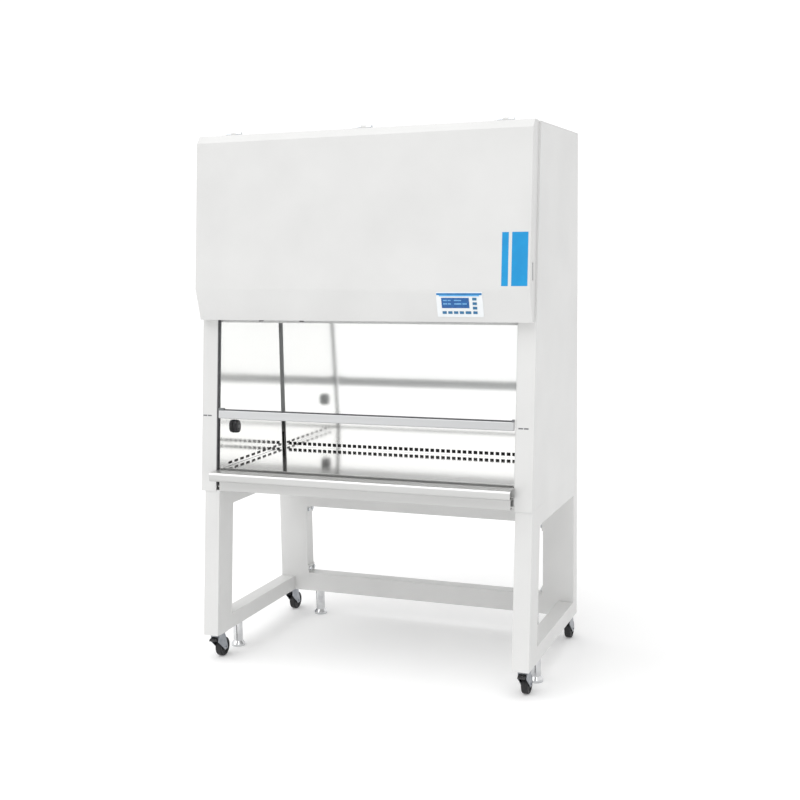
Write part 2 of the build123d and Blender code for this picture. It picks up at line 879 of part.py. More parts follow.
# Sash glass: one pane, wider than the opening so that its edges stay behind the posts
with BuildPart() as sash_glass:
    slab_box(
        -chamber_half - glass_side_overlap,
        chamber_half + glass_side_overlap,
        glass_bottom,
        glass_top,
        glass_setback,
        glass_back,
    )
sash_glass.part.label = "sash_glass"
export_step(sash_glass.part, "parts/sash_glass.step")

# Sash handle: bar, the clamp round the glass's lower edge, and a carriage at each upper corner
clamp_half = inner_half - 1.0
bar_half = chamber_half - 2.0
belt_front_run = pulley_setback - pulley_radius - belt_gap - belt_thickness
carriage_high = glass_top - carriage_top_gap
with BuildPart() as sash_handle:
    slab_box(-bar_half, bar_half, sash_bar_bottom, sash_bar_top, -sash_bar_reach, -glass_gap)
    bar_edges = sash_handle.edges().filter_by(Axis.X).sort_by(Axis.Y)[0:2]
    fillet(bar_edges, sash_bar_round)
    slab_box(
        -clamp_half,
        clamp_half,
        sash_bar_bottom,
        glass_bottom + sash_clamp_height,
        -glass_gap,
        glass_back + 3,
    )
    slab_box(
        -clamp_half,
        clamp_half,
        glass_bottom,
        glass_bottom + sash_clamp_height,
        glass_setback,
        glass_back,
        Mode.SUBTRACT,
    )
    for side in (-1, 1):
        near_edge = side * (chamber_half + 5)
        far_edge = side * (-pulley_line + belt_width / 2)
        slab_box(
            min(near_edge, far_edge),
            max(near_edge, far_edge),
            carriage_high - carriage_height,
            carriage_high,
            glass_back,
            belt_front_run - belt_gap,
        )
sash_handle.part.label = "sash_handle"
export_step(sash_handle.part, "parts/sash_handle.step")

# Counterbalance: belts, tie shaft with upper pulleys, lower pulleys and counterweights
upper_y = front(upper_pulley_height) + pulley_setback
lower_y = front(lower_pulley_height) + pulley_setback
with BuildPart() as sash_belts:
    for side in (-1, 1):
        belt_left = side * -pulley_line - belt_width / 2
        with BuildSketch(Plane.YZ.offset(belt_left)):
            for reach, how in ((belt_gap + belt_thickness, Mode.ADD), (belt_gap, Mode.SUBTRACT)):
                with BuildLine():
                    loop = Line((lower_y, lower_pulley_height), (upper_y, upper_pulley_height))
                with Locations((lower_y, lower_pulley_height), (upper_y, upper_pulley_height)):
                    Circle(pulley_radius + reach, mode=how)
                with Locations(loop @ 0.5):
                    Rectangle(
                        2 * (pulley_radius + reach),
                        loop.length,
                        rotation=-front_lean,
                        mode=how,
                    )
        extrude(amount=belt_width)
sash_belts.part.label = "sash_belts"
export_step(sash_belts.part, "parts/sash_belts.step")


def pulley(centre_x, centre_y, height, bore):
    """Flat belt pulley with a rim at each side, and a bore where one is given."""
    start = centre_x - pulley_width / 2
    rim_width = (pulley_width - belt_width) / 2 - 0.3
    for left, width, radius in (
        (start, pulley_width, pulley_radius),
        (start, rim_width, pulley_radius + pulley_rim),
        (start + pulley_width - rim_width, rim_width, pulley_radius + pulley_rim),
    ):
        with BuildSketch(Plane.YZ.offset(left)) as disc:
            with Locations((centre_y, height)):
                Circle(radius)
        extrude(disc.sketch, amount=width)
    if bore:
        with BuildSketch(Plane.YZ.offset(start)) as hole:
            with Locations((centre_y, height)):
                Circle(bore)
        extrude(hole.sketch, amount=pulley_width, mode=Mode.SUBTRACT)


with BuildPart() as tie_shaft:
    with BuildSketch(Plane.YZ.offset(-half_width + 2 * sheet)):
        with Locations((upper_y, upper_pulley_height)):
            Circle(tie_shaft_radius)
    extrude(amount=cabinet_width - 4 * sheet)
    pulley(pulley_line, upper_y, upper_pulley_height, 0)
    pulley(-pulley_line, upper_y, upper_pulley_height, 0)
tie_shaft.part.label = "tie_shaft"
export_step(tie_shaft.part, "parts/tie_shaft.step")

with BuildPart() as lower_pulley_left:
    pulley(pulley_line, lower_y, lower_pulley_height, tie_shaft_radius)
lower_pulley_left.part.label = "lower_pulley_left"
export_step(lower_pulley_left.part, "parts/lower_pulley_left.step")

with BuildPart() as lower_pulley_right:
    pulley(-pulley_line, lower_y, lower_pulley_height, tie_shaft_radius)
lower_pulley_right.part.label = "lower_pulley_right"
export_step(lower_pulley_right.part, "parts/lower_pulley_right.step")

weight_front = pulley_setback + pulley_radius + 2 * belt_gap + belt_thickness
weight_length = weight_share * (upper_pulley_height - lower_pulley_height)
weight_middle = lower_pulley_height + weight_place * (upper_pulley_height - lower_pulley_height)
weight_centre = half_width - sheet - (half_width - sheet - chamber_half - liner_sheet) / 2
with BuildPart() as counterweight_left:
    slab_box(
        -weight_centre - weight_width / 2,
        -weight_centre + weight_width / 2,
        weight_middle - weight_length / 2,
        weight_middle + weight_length / 2,
        weight_front,
        weight_front + weight_depth,
    )
counterweight_left.part.label = "counterweight_left"
export_step(counterweight_left.part, "parts/counterweight_left.step")

with BuildPart() as counterweight_right:
    mirror(counterweight_left.part, about=Plane.YZ)
counterweight_right.part.label = "counterweight_right"
export_step(counterweight_right.part, "parts/counterweight_right.step")

# Service door: one folded sheet with a sloped control band, open towards the cabinet
door_half = half_width - door_side_gap
hinge_spacing = half_width - hinge_inset
hinge_y = front(roof_height) + 3.0
hinge_height = roof_height + knuckle_radius + 2.0
bend_y = front(door_bend_height) - door_face_depth
chin_y = front(door_bottom_height) - door_bottom_depth
chamfer_foot = door_top_height - door_chamfer_height
door_skin = [
    (front(door_top_height) - door_top_depth, door_top_height),
    (front(chamfer_foot) - door_face_depth, chamfer_foot),
    (bend_y, door_bend_height),
    (chin_y, door_bottom_height),
]
band_angle = atan2(chin_y - bend_y, door_bend_height - door_bottom_height)
band_plane = Plane(
    origin=(0, bend_y, door_bend_height),
    x_dir=(1, 0, 0),
    z_dir=(0, -cos(band_angle), -sin(band_angle)),
)
latch_y = front(latch_middle) - door_face_depth + latch_setback
latch_low = latch_middle - latch_slot_length / 2
latch_pivot = (latch_y, latch_low + 6)
panel_centre = -panel_drop - panel_height / 2
window_width = panel_width - 24
window_height = panel_height - 20
segment = (hinge_width - 4 * swivel_gap) / 3
with BuildPart() as service_door:
    with BuildSketch(Plane.YZ.offset(-door_half)):
        Polygon(
            (hinge_y - knuckle_radius - 1, door_top_height),
            *door_skin,
            (front(door_bottom_height) - door_seat_gap, door_bottom_height),
            (front(roof_height) - door_seat_gap, roof_height),
            (hinge_y - knuckle_radius - 1, door_top_height - sheet),
            align=None,
        )
    extrude(amount=2 * door_half)
    with BuildSketch(Plane.YZ.offset(-door_half + sheet)) as door_hollow:
        Polygon(
            (front(door_top_height) + 10, door_top_height),
            *door_skin,
            (front(door_bottom_height) + 10, door_bottom_height),
            align=None,
        )
        offset(amount=-sheet, kind=Kind.INTERSECTION, mode=Mode.REPLACE)
    extrude(amount=2 * (door_half - sheet), mode=Mode.SUBTRACT)
    # Opening in the band behind the control panel
    with BuildSketch(band_plane.offset(-3 * sheet)):
        with Locations((panel_middle, panel_centre)):
            Rectangle(window_width, window_height)
    extrude(amount=4 * sheet, mode=Mode.SUBTRACT)
    # Slot in the right side for the latch, with the ears that its pin turns in
    with BuildSketch(Plane.YZ.offset(door_half - sheet)):
        with Locations((latch_y, latch_middle)):
            Rectangle(latch_slot_width, latch_slot_length)
    extrude(amount=sheet, mode=Mode.SUBTRACT)
    for side in (-1, 1):
        ear_near = latch_y + side * (latch_slot_width / 2 + 2) - 2
        with BuildSketch(Plane.XZ.offset(-ear_near)):
            with Locations((door_half - sheet - 3.5, latch_pivot[1])):
                Rectangle(7, 10)
            with Locations((door_half - sheet - 2.5, latch_pivot[1])):
                Circle(latch_pin_radius + running_gap, mode=Mode.SUBTRACT)
        extrude(amount=-4)
    # Moving leaf and middle knuckle of each hinge
    for middle in (-hinge_spacing, 0, hinge_spacing):
        straight_box(
            middle - hinge_width / 2,
            middle + hinge_width / 2,
            hinge_y - knuckle_radius - hinge_leaf_length,
            hinge_y - knuckle_radius - 1,
            door_top_height,
            door_top_height + hinge_leaf,
        )
        straight_box(
            middle - segment / 2,
            middle + segment / 2,
            hinge_y - knuckle_radius - 1,
            hinge_y,
            door_top_height,
            door_top_height + hinge_leaf,
        )
        with BuildSketch(Plane.YZ.offset(middle - segment / 2)):
            with Locations((hinge_y, hinge_height)):
                Circle(knuckle_radius)
        extrude(amount=segment)
        with BuildSketch(Plane.YZ.offset(middle - segment / 2)):
            with Locations((hinge_y, hinge_height)):
                Circle(hinge_pin_radius + running_gap)
        extrude(amount=segment, mode=Mode.SUBTRACT)
service_door.part.label = "service_door"
export_step(service_door.part, "parts/service_door.step")

# Fixed hinge leaves on the roof, each with its two outer knuckles and the pin
with BuildPart() as hinge_leaves:
    for middle in (-hinge_spacing, 0, hinge_spacing):
        straight_box(
            middle - hinge_width / 2,
            middle + hinge_width / 2,
            hinge_y + knuckle_radius,
            hinge_y + knuckle_radius + hinge_leaf_length,
            roof_height,
            roof_height + hinge_leaf,
        )
        for side in (-1, 1):
            start = middle + side * (segment + swivel_gap) - segment / 2
            with BuildSketch(Plane.YZ.offset(start)) as knuckle:
                with Locations((hinge_y, hinge_height)):
                    Circle(knuckle_radius)
                with Locations((hinge_y + knuckle_radius / 2 + 1, roof_height + knuckle_radius / 2)):
                    Rectangle(knuckle_radius + 2, knuckle_radius)
            extrude(amount=segment)
        with BuildSketch(Plane.YZ.offset(middle - hinge_width / 2)):
            with Locations((hinge_y, hinge_height)):
                Circle(hinge_pin_radius)
        extrude(amount=hinge_width)
hinge_leaves.part.label = "hinge_leaves"
export_step(hinge_leaves.part, "parts/hinge_leaves.step")

# Latch: flush lever in the slot, on a pin near its lower end
latch_pin_x = door_half - sheet - 2.5
with BuildPart() as door_latch:
    with BuildSketch(Plane.XZ.offset(-latch_y - latch_slot_width / 2 + 0.4)):
        with Locations((door_half - 1.5, latch_middle)):
            Rectangle(3, latch_slot_length - 6)
        with Locations((latch_pin_x, latch_pivot[1])):
            Circle(3.2)
    extrude(amount=latch_slot_width - 0.8)
    with BuildSketch(Plane.XZ.offset(-latch_y - latch_slot_width / 2 - 3.5)):
        with Locations((latch_pin_x, latch_pivot[1])):
            Circle(latch_pin_radius)
    extrude(amount=latch_slot_width + 7)
door_latch.part.label = "door_latch"
export_step(door_latch.part, "parts/door_latch.step")


def key_place(key):
    """X, distance below the bend and width of one of the nine keys."""
    if key < 4:
        return panel_middle + key_row_start + key * key_pitch, key_row_drop, key_width
    if key == 4:
        return panel_middle + wide_key, key_row_drop, key_width + wide_key_extra
    return panel_middle + key_column, key_row_drop - (key - 5) * key_column_pitch, key_width


# Control panel: plate with the screen, the header bar above it and the holes for the keys
with BuildPart() as display:
    with BuildSketch(band_plane):
        with Locations((panel_middle, panel_centre)):
            RectangleRounded(panel_width, panel_height, 4)
        for key in range(9):
            x, drop, width = key_place(key)
            with Locations((x, -drop)):
                Rectangle(width + 2 * key_gap, key_height + 2 * key_gap, mode=Mode.SUBTRACT)
    extrude(amount=panel_plate)
    with BuildSketch(band_plane.offset(panel_plate)):
        with Locations((panel_middle + display_shift, -display_drop - display_height / 2)):
            Rectangle(display_width, display_height)
        with Locations((panel_middle, -22)):
            Rectangle(panel_width - 6, 12)
    extrude(amount=0.6)
    with BuildSketch(band_plane):
        with Locations((panel_middle + display_shift, -display_drop - display_height / 2)):
            Rectangle(display_width + 8, display_height + 4)
    extrude(amount=-14)
display.part.label = "display"
export_step(display.part, "parts/display.step")

# Keys: square caps in the panel's holes, each with a flange behind the plate that stops it
for key in range(9):
    x, drop, width = key_place(key)
    with BuildPart() as panel_key:
        with BuildSketch(band_plane):
            with Locations((x, -drop)):
                Rectangle(width, key_height)
        extrude(amount=panel_plate + key_proud)
        with BuildSketch(band_plane.offset(-key_flange)):
            with Locations((x, -drop)):
                Rectangle(width + 2, key_height + 2)
        extrude(amount=key_flange)
    panel_key.part.label = f"key_{key + 1}"
    export_step(panel_key.part, f"parts/key_{key + 1}.step")

# Stand: two welded side frames of rectangular tube, hollow, with caster plates and foot holes
stand_left = -half_width + stand_inset
stand_right = half_width
frame_top = base_height
beam_top = frame_bottom + lower_beam_height
leg_back = leg_recess + leg_depth
rear_leg_front = rear_face - rear_leg_depth
front_caster_y = front(frame_bottom) + leg_recess + leg_depth / 2
rear_caster_y = rear_face - rear_leg_depth / 2
front_foot_y = front(frame_bottom) + leg_back + foot_behind_leg


def frame_outline(trim, mode=Mode.ADD):
    """Side view of a stand frame, shrunk by a trim all round for the hollow."""
    top = frame_top - trim
    low = frame_bottom + trim
    near = leg_recess + trim
    back = leg_back - trim
    Polygon(
        (front(low) + near, low),
        (rear_face - trim, low),
        (rear_face - trim, top),
        (front(top) + near, top),
        align=None,
        mode=mode,
    )
    Polygon(
        (front(beam_top - trim) + back, beam_top - trim),
        (rear_leg_front + trim, beam_top - trim),
        (rear_leg_front + trim, upper_beam_bottom + trim),
        (front(upper_beam_bottom + trim) + back, upper_beam_bottom + trim),
        align=None,
        mode=Mode.SUBTRACT,
    )


def stand_side(outer, inner):
    """One side frame between its outer and inner X, the rear leg wider than the rest."""
    way = 1 if inner > outer else -1
    with BuildSketch(Plane.YZ.offset(outer)) as whole:
        frame_outline(0)
    extrude(whole.sketch, amount=way * leg_width)
    rear_inner = outer + way * rear_leg_width
    straight_box(
        min(outer, rear_inner),
        max(outer, rear_inner),
        rear_leg_front,
        rear_face,
        frame_bottom,
        frame_top,
    )
    with BuildSketch(Plane.YZ.offset(outer + way * tube_wall)) as hollow:
        frame_outline(tube_wall)
    extrude(hollow.sketch, amount=way * (leg_width - 2 * tube_wall), mode=Mode.SUBTRACT)
    straight_box(
        min(outer + way * tube_wall, rear_inner - way * tube_wall),
        max(outer + way * tube_wall, rear_inner - way * tube_wall),
        rear_leg_front + tube_wall,
        rear_face - tube_wall,
        frame_bottom + tube_wall,
        frame_top - tube_wall,
        Mode.SUBTRACT,
    )
    middle = outer + way * leg_width / 2
    for caster_y in (front_caster_y, rear_caster_y):
        straight_box(
            middle - 28,
            middle + 28,
            caster_y - 28,
            caster_y + 28,
            frame_bottom - caster_plate,
            frame_bottom,
        )
        with BuildSketch(Plane.XY.offset(frame_bottom - caster_plate)) as pin_hole:
            with Locations((middle, caster_y)):
                Circle(kingpin_radius + running_gap)
        extrude(pin_hole.sketch, amount=caster_plate + tube_wall, mode=Mode.SUBTRACT)
    with BuildSketch(Plane.XY.offset(frame_bottom)) as foot_hole:
        with Locations((middle, front_foot_y)):
            Circle(foot_tube_radius + running_gap)
    extrude(foot_hole.sketch, amount=tube_wall, mode=Mode.SUBTRACT)
    for row in end_bolt_rows:
        with BuildSketch(Plane.YZ.offset(rear_inner)) as holes:
            with Locations((rear_caster_y, row)):
                with GridLocations(end_bolt_pitch, 1, 2, 1):
                    Circle(bolt_radius + bolt_clearance)
        extrude(holes.sketch, amount=-way * tube_wall, mode=Mode.SUBTRACT)


lower_crossbar_bottom = frame_bottom + crossbar_lift
upper_plate_bottom = upper_crossbar_bottom - end_plate_extra
lower_plate_top = lower_crossbar_bottom + crossbar_height + end_plate_extra
end_bolt_rows = (upper_plate_bottom + end_plate_extra / 2, lower_plate_top - end_plate_extra / 2)

with BuildPart() as stand_frame_left:
    stand_side(stand_left, stand_left + leg_width)
stand_frame_left.part.label = "stand_frame_left"
export_step(stand_frame_left.part, "parts/stand_frame_left.step")

with BuildPart() as stand_frame_right:
    stand_side(stand_right, stand_right - leg_width)
stand_frame_right.part.label = "stand_frame_right"
export_step(stand_frame_right.part, "parts/stand_frame_right.step")

# Crossbars: two tubes between the rear legs, with end plates bolted to them
bar_left = stand_left + rear_leg_width
bar_right = stand_right - rear_leg_width
stand_middle = (stand_left + stand_right) / 2
foot_x = (stand_right - stand_left) / 2 - rear_foot_inset
with BuildPart() as stand_crossbars:
    for low in (lower_crossbar_bottom, upper_crossbar_bottom):
        straight_box(bar_left, bar_right, rear_leg_front, rear_face, low, low + crossbar_height)
        straight_box(
            bar_left + end_plate,
            bar_right - end_plate,
            rear_leg_front + tube_wall,
            rear_face - tube_wall,
            low + tube_wall,
            low + crossbar_height - tube_wall,
            Mode.SUBTRACT,
        )
    for start in (bar_left, bar_right - end_plate):
        for low, high in (
            (upper_plate_bottom, upper_crossbar_bottom),
            (lower_crossbar_bottom + crossbar_height, lower_plate_top),
        ):
            straight_box(start, start + end_plate, rear_leg_front, rear_face, low, high)
        for row in end_bolt_rows:
            with BuildSketch(Plane.YZ.offset(start)):
                with Locations((rear_caster_y, row)):
                    with GridLocations(end_bolt_pitch, 1, 2, 1):
                        Circle(bolt_radius + bolt_clearance)
            extrude(amount=end_plate, mode=Mode.SUBTRACT)
    with BuildSketch(Plane.XY.offset(lower_crossbar_bottom)):
        with Locations((stand_middle - foot_x, rear_caster_y), (stand_middle + foot_x, rear_caster_y)):
            Circle(foot_tube_radius + running_gap)
    extrude(amount=tube_wall, mode=Mode.SUBTRACT)
    vent_height = upper_crossbar_bottom + crossbar_height / 2
    with BuildSketch(Plane.XZ.offset(-rear_face)):
        with Locations((0, vent_height)):
            Circle(bolt_radius)
    extrude(amount=tube_wall, mode=Mode.SUBTRACT)
stand_crossbars.part.label = "stand_crossbars"
export_step(stand_crossbars.part, "parts/stand_crossbars.step")

# Stand bolts: eight alike, through the end plates into the rear legs
with BuildPart() as stand_bolts:
    for start, way in ((bar_left + end_plate, -1), (bar_right - end_plate, 1)):
        for row in end_bolt_rows:
            with BuildSketch(Plane.YZ.offset(start)):
                with Locations((rear_caster_y, row)):
                    with GridLocations(end_bolt_pitch, 1, 2, 1):
                        RegularPolygon(bolt_head_radius, 6)
            extrude(amount=-way * bolt_head_height)
            with BuildSketch(Plane.YZ.offset(start)):
                with Locations((rear_caster_y, row)):
                    with GridLocations(end_bolt_pitch, 1, 2, 1):
                        Circle(bolt_radius)
            extrude(amount=way * (end_plate + tube_wall + 8))
stand_bolts.part.label = "stand_bolts"
export_step(stand_bolts.part, "parts/stand_bolts.step")

# Casters: fork with swivel cup and kingpin, wheel, and a brake pedal on the two front ones
side_middle = (stand_right - stand_left) / 2 - leg_width / 2
left_caster_x = stand_middle - side_middle
right_caster_x = stand_middle + side_middle
fork_half = wheel_width / 2 + fork_gap
pedal_pivot_back = 20.0
pedal_height = crown_low - 12.7
caster_places = (
    ("front_left", left_caster_x, front_caster_y, True),
    ("front_right", right_caster_x, front_caster_y, True),
    ("rear_left", left_caster_x, rear_caster_y, False),
    ("rear_right", right_caster_x, rear_caster_y, False),
)
for name, caster_x, caster_y, braked in caster_places:
    axle_y = caster_y + caster_trail
    pivot_y = caster_y - pedal_pivot_back
    with BuildPart() as fork:
        with BuildSketch(Plane.XY.offset(crown_top)):
            with Locations((caster_x, caster_y)):
                Circle(swivel_radius)
        extrude(amount=swivel_cup_height)
        with BuildSketch(Plane.XY.offset(cup_top)):
            with Locations((caster_x, caster_y)):
                Circle(kingpin_radius)
        extrude(amount=kingpin_length)
        straight_box(
            caster_x - fork_half - fork_plate,
            caster_x + fork_half + fork_plate,
            caster_y - 27,
            caster_y + 27,
            crown_low,
            crown_top,
        )
        for start in (caster_x - fork_half - fork_plate, caster_x + fork_half):
            with BuildSketch(Plane.YZ.offset(start)) as cheek:
                Polygon(
                    (caster_y - 27, crown_low),
                    (caster_y + 27, crown_low),
                    (axle_y + 11, wheel_radius + 4),
                    (axle_y + 11, wheel_radius - 9),
                    (axle_y - 9, wheel_radius - 11),
                    (caster_y - 27, pedal_height - 8),
                    align=None,
                )
                fillet(cheek.vertices().sort_by(Axis.Y)[-2:], 7)
            extrude(amount=fork_plate)
        with BuildSketch(Plane.YZ.offset(caster_x - fork_half - fork_plate - 3)):
            with Locations((axle_y, wheel_radius)):
                Circle(axle_radius)
        extrude(amount=2 * (fork_half + fork_plate) + 6)
        if braked:
            with BuildSketch(Plane.YZ.offset(caster_x - fork_half - fork_plate)):
                with Locations((pivot_y, pedal_height)):
                    Circle(3)
            extrude(amount=2 * (fork_half + fork_plate))
    fork.part.label = f"fork_{name}"
    export_step(fork.part, f"parts/fork_{name}.step")

    with BuildPart() as wheel:
        with BuildSketch(Plane.YZ.offset(caster_x - wheel_width / 2)):
            with Locations((axle_y, wheel_radius)):
                Circle(wheel_radius)
        extrude(amount=wheel_width)
        chamfer(wheel.edges().filter_by(GeomType.CIRCLE), 3)
        for start, way in ((caster_x - wheel_width / 2, 1), (caster_x + wheel_width / 2, -1)):
            with BuildSketch(Plane.YZ.offset(start)):
                with Locations((axle_y, wheel_radius)):
                    Circle(wheel_radius - 10)
                    Circle(axle_radius + 7, mode=Mode.SUBTRACT)
            extrude(amount=way * 4, mode=Mode.SUBTRACT)
        with BuildSketch(Plane.YZ.offset(caster_x - wheel_width / 2)):
            with Locations((axle_y, wheel_radius)):
                Circle(axle_radius + running_gap)
        extrude(amount=wheel_width, mode=Mode.SUBTRACT)
    wheel.part.label = f"wheel_{name}"
    export_step(wheel.part, f"parts/wheel_{name}.step")

    if braked:
        with BuildPart() as pedal:
            with BuildSketch(Plane.YZ.offset(caster_x - pedal_width / 2)):
                with Locations((pivot_y, pedal_height)):
                    Circle(7)
                Polygon(
                    (pivot_y, pedal_height + 7),
                    (pivot_y - pedal_reach, pedal_height + 9),
                    (pivot_y - pedal_reach - 8, pedal_height + 1),
                    (pivot_y - pedal_reach, pedal_height - 1),
                    (pivot_y, pedal_height - 7),
                    align=None,
                )
                with Locations((pivot_y, pedal_height)):
                    Circle(3 + running_gap, mode=Mode.SUBTRACT)
            extrude(amount=pedal_width)
        pedal.part.label = f"pedal_{name}"
        export_step(pedal.part, f"parts/pedal_{name}.step")

# Levelling feet: flared base on a tube that slides in the beam above it
foot_places = (
    ("front_left", left_caster_x, front_foot_y),
    ("front_right", right_caster_x, front_foot_y),
    ("rear_left", stand_middle - foot_x, rear_caster_y),
    ("rear_right", stand_middle + foot_x, rear_caster_y),
)
for name, foot_centre_x, foot_centre_y in foot_places:
    with BuildPart() as foot:
        with BuildSketch(Plane.XY):
            with Locations((foot_centre_x, foot_centre_y)):
                Circle(foot_base_radius)
        extrude(amount=foot_base_height)
        with BuildSketch(Plane.XY.offset(foot_base_height)):
            with Locations((foot_centre_x, foot_centre_y)):
                Circle(foot_base_radius)
        with BuildSketch(Plane.XY.offset(foot_base_height + foot_flare)):
            with Locations((foot_centre_x, foot_centre_y)):
                Circle(foot_tube_radius)
        loft()
        with BuildSketch(Plane.XY.offset(foot_base_height + foot_flare)):
            with Locations((foot_centre_x, foot_centre_y)):
                Circle(foot_tube_radius)
        extrude(amount=frame_bottom + foot_in_beam - foot_base_height - foot_flare)
    foot.part.label = f"foot_{name}"
    export_step(foot.part, f"parts/foot_{name}.step")
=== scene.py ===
import json
from math import cos, radians, sin, tan

import bpy
from mathutils import Matrix, Vector

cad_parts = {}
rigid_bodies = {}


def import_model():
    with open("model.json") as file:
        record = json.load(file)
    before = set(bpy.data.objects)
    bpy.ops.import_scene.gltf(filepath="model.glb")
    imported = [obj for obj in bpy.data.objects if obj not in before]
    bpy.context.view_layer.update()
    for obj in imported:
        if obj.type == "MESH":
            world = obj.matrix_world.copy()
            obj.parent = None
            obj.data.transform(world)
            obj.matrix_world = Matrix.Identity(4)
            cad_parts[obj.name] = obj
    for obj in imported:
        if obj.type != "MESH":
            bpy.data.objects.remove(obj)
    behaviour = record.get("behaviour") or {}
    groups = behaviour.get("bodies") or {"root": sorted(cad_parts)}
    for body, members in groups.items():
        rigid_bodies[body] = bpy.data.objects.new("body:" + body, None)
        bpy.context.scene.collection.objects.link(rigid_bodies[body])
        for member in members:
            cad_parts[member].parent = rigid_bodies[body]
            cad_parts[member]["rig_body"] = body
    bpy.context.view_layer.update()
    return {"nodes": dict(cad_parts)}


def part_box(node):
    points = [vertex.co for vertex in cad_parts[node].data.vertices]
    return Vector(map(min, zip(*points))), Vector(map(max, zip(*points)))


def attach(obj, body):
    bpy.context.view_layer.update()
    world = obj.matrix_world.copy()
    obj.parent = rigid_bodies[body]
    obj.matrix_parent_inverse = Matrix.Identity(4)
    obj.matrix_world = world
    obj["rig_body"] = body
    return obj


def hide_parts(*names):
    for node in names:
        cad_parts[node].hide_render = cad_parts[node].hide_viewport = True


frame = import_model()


# The stand: two welded side frames of rectangular steel tube and two crossbars bolted between
# them, all powder coated white in one finish. The tube's corners are drawn with a small radius.
def colour(code):
    """Linear colour from an sRGB hex value."""
    parts = [int(code[i:i + 2], 16) / 255 for i in (0, 2, 4)]
    return tuple(c / 12.92 if c <= 0.04045 else ((c + 0.055) / 1.055) ** 2.4 for c in parts) + (1.0,)


def add_node(tree, kind, settings=None, inputs=None, links=None):
    """Adds one node, with its settings and values, and links its inputs to other nodes' outputs."""
    node = tree.nodes.new(kind)
    for key, value in (settings or {}).items():
        setattr(node, key, value)
    for key, value in (inputs or {}).items():
        node.inputs[key].default_value = value
    for key, output in (links or {}).items():
        tree.links.new(output, node.inputs[key])
    return node


def surface(name, tones, patch, grain, bump, rough, stretch=(1, 1, 1), **values):
    """A finish: two tones in soft patches, a grain that sets roughness and bump, and fixed values.

    patch and grain are the sizes of the patches and of the grain in millimetres, bump is the
    grain's height in millimetres, and rough is the roughness from its smooth to its dull places.
    """
    made = bpy.data.materials.new(name)
    made.use_nodes = True
    tree = made.node_tree
    shader = tree.nodes["Principled BSDF"]
    place = add_node(tree, "ShaderNodeTexCoord")
    turned = add_node(tree, "ShaderNodeMapping", inputs={"Scale": stretch},
                      links={"Vector": place.outputs["Object"]})
    cloud = add_node(tree, "ShaderNodeTexNoise", inputs={"Scale": 1000 / patch, "Detail": 3.0},
                     links={"Vector": turned.outputs["Vector"]})
    tint = add_node(tree, "ShaderNodeValToRGB", links={"Fac": cloud.outputs["Fac"]})
    tint.color_ramp.elements[0].position = 0.35
    tint.color_ramp.elements[0].color = colour(tones[0])
    tint.color_ramp.elements[1].position = 0.65
    tint.color_ramp.elements[1].color = colour(tones[1])
    tree.links.new(tint.outputs["Color"], shader.inputs["Base Color"])
    fine = add_node(tree, "ShaderNodeTexNoise", inputs={"Scale": 1000 / grain, "Detail": 2.0},
                    links={"Vector": turned.outputs["Vector"]})
    dull = add_node(tree, "ShaderNodeMapRange", inputs={"To Min": rough[0], "To Max": rough[1]},
                    links={"Value": fine.outputs["Fac"]})
    tree.links.new(dull.outputs["Result"], shader.inputs["Roughness"])
    relief = add_node(tree, "ShaderNodeBump", inputs={"Strength": 0.3, "Distance": bump / 1000},
                      links={"Height": fine.outputs["Fac"]})
    tree.links.new(relief.outputs["Normal"], shader.inputs["Normal"])
    for key, value in values.items():
        shader.inputs[key.replace("_", " ")].default_value = value
    return made


def only(piece):
    """Nothing but this piece is selected and active."""
    bpy.ops.object.select_all(action="DESELECT")
    piece.select_set(True)
    bpy.context.view_layer.objects.active = piece


def finish_with(piece, *materials):
    """The piece's material slots hold these materials, in this order."""
    piece.data.materials.clear()
    for material in materials:
        piece.data.materials.append(material)


def dress(material, *nodes):
    """CAD nodes whose shape is right stay, and get this finish."""
    for node in nodes:
        finish_with(frame["nodes"][node], material)


def eased(node, name, radius, segments=2):
    """A merged copy of a CAD node with rounded edges, which is shown in the node's place."""
    source = frame["nodes"][node]
    piece = bpy.data.objects.new(name, source.data.copy())
    bpy.context.scene.collection.objects.link(piece)
    only(piece)
    bpy.ops.object.mode_set(mode="EDIT")
    bpy.ops.mesh.select_all(action="SELECT")
    bpy.ops.mesh.remove_doubles(threshold=0.000002)
    bpy.ops.mesh.dissolve_limited(angle_limit=radians(0.5))
    bpy.ops.object.mode_set(mode="OBJECT")
    bevel = piece.modifiers.new("edges", "BEVEL")
    bevel.width = radius
    bevel.segments = segments
    bevel.limit_method = "ANGLE"
    bevel.angle_limit = radians(30)
    bpy.ops.object.modifier_apply(modifier=bevel.name)
    bpy.ops.object.shade_smooth_by_angle(angle=radians(35))
    weights = piece.modifiers.new("flat faces", "WEIGHTED_NORMAL")
    weights.keep_sharp = True
    bpy.ops.object.modifier_apply(modifier=weights.name)
    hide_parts(node)
    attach(piece, source["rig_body"])
    return piece


# Polyester powder coat on steel, sprayed and baked: satin white with a fine orange peel whose
# ripples are about 1.5 mm apart, drawn 2.4 mm apart so that they show at this distance.
powder_coat = surface("powder_coat_white", ("DCDCDB", "E1E1E0"), 280, 2.4, 0.12, (0.36, 0.46))

for side in ("left", "right"):
    stand_frame = eased(f"stand_frame_{side}", f"stand_frame_{side}_coated", 0.003, 3)
    finish_with(stand_frame, powder_coat)
crossbars = eased("stand_crossbars", "stand_crossbars_coated", 0.002)
finish_with(crossbars, powder_coat)

# Zinc plated steel, for bolts, hinges and shafts: a cool bright metal with a faint bluish cloud
# from the passivation and fine turning marks.
bright_zinc = surface("bright_zinc_plate", ("BFC3C8", "D2D4D6"), 18, 0.8, 0.03, (0.22, 0.34),
                      Metallic=1.0)
dress(bright_zinc, "stand_bolts")


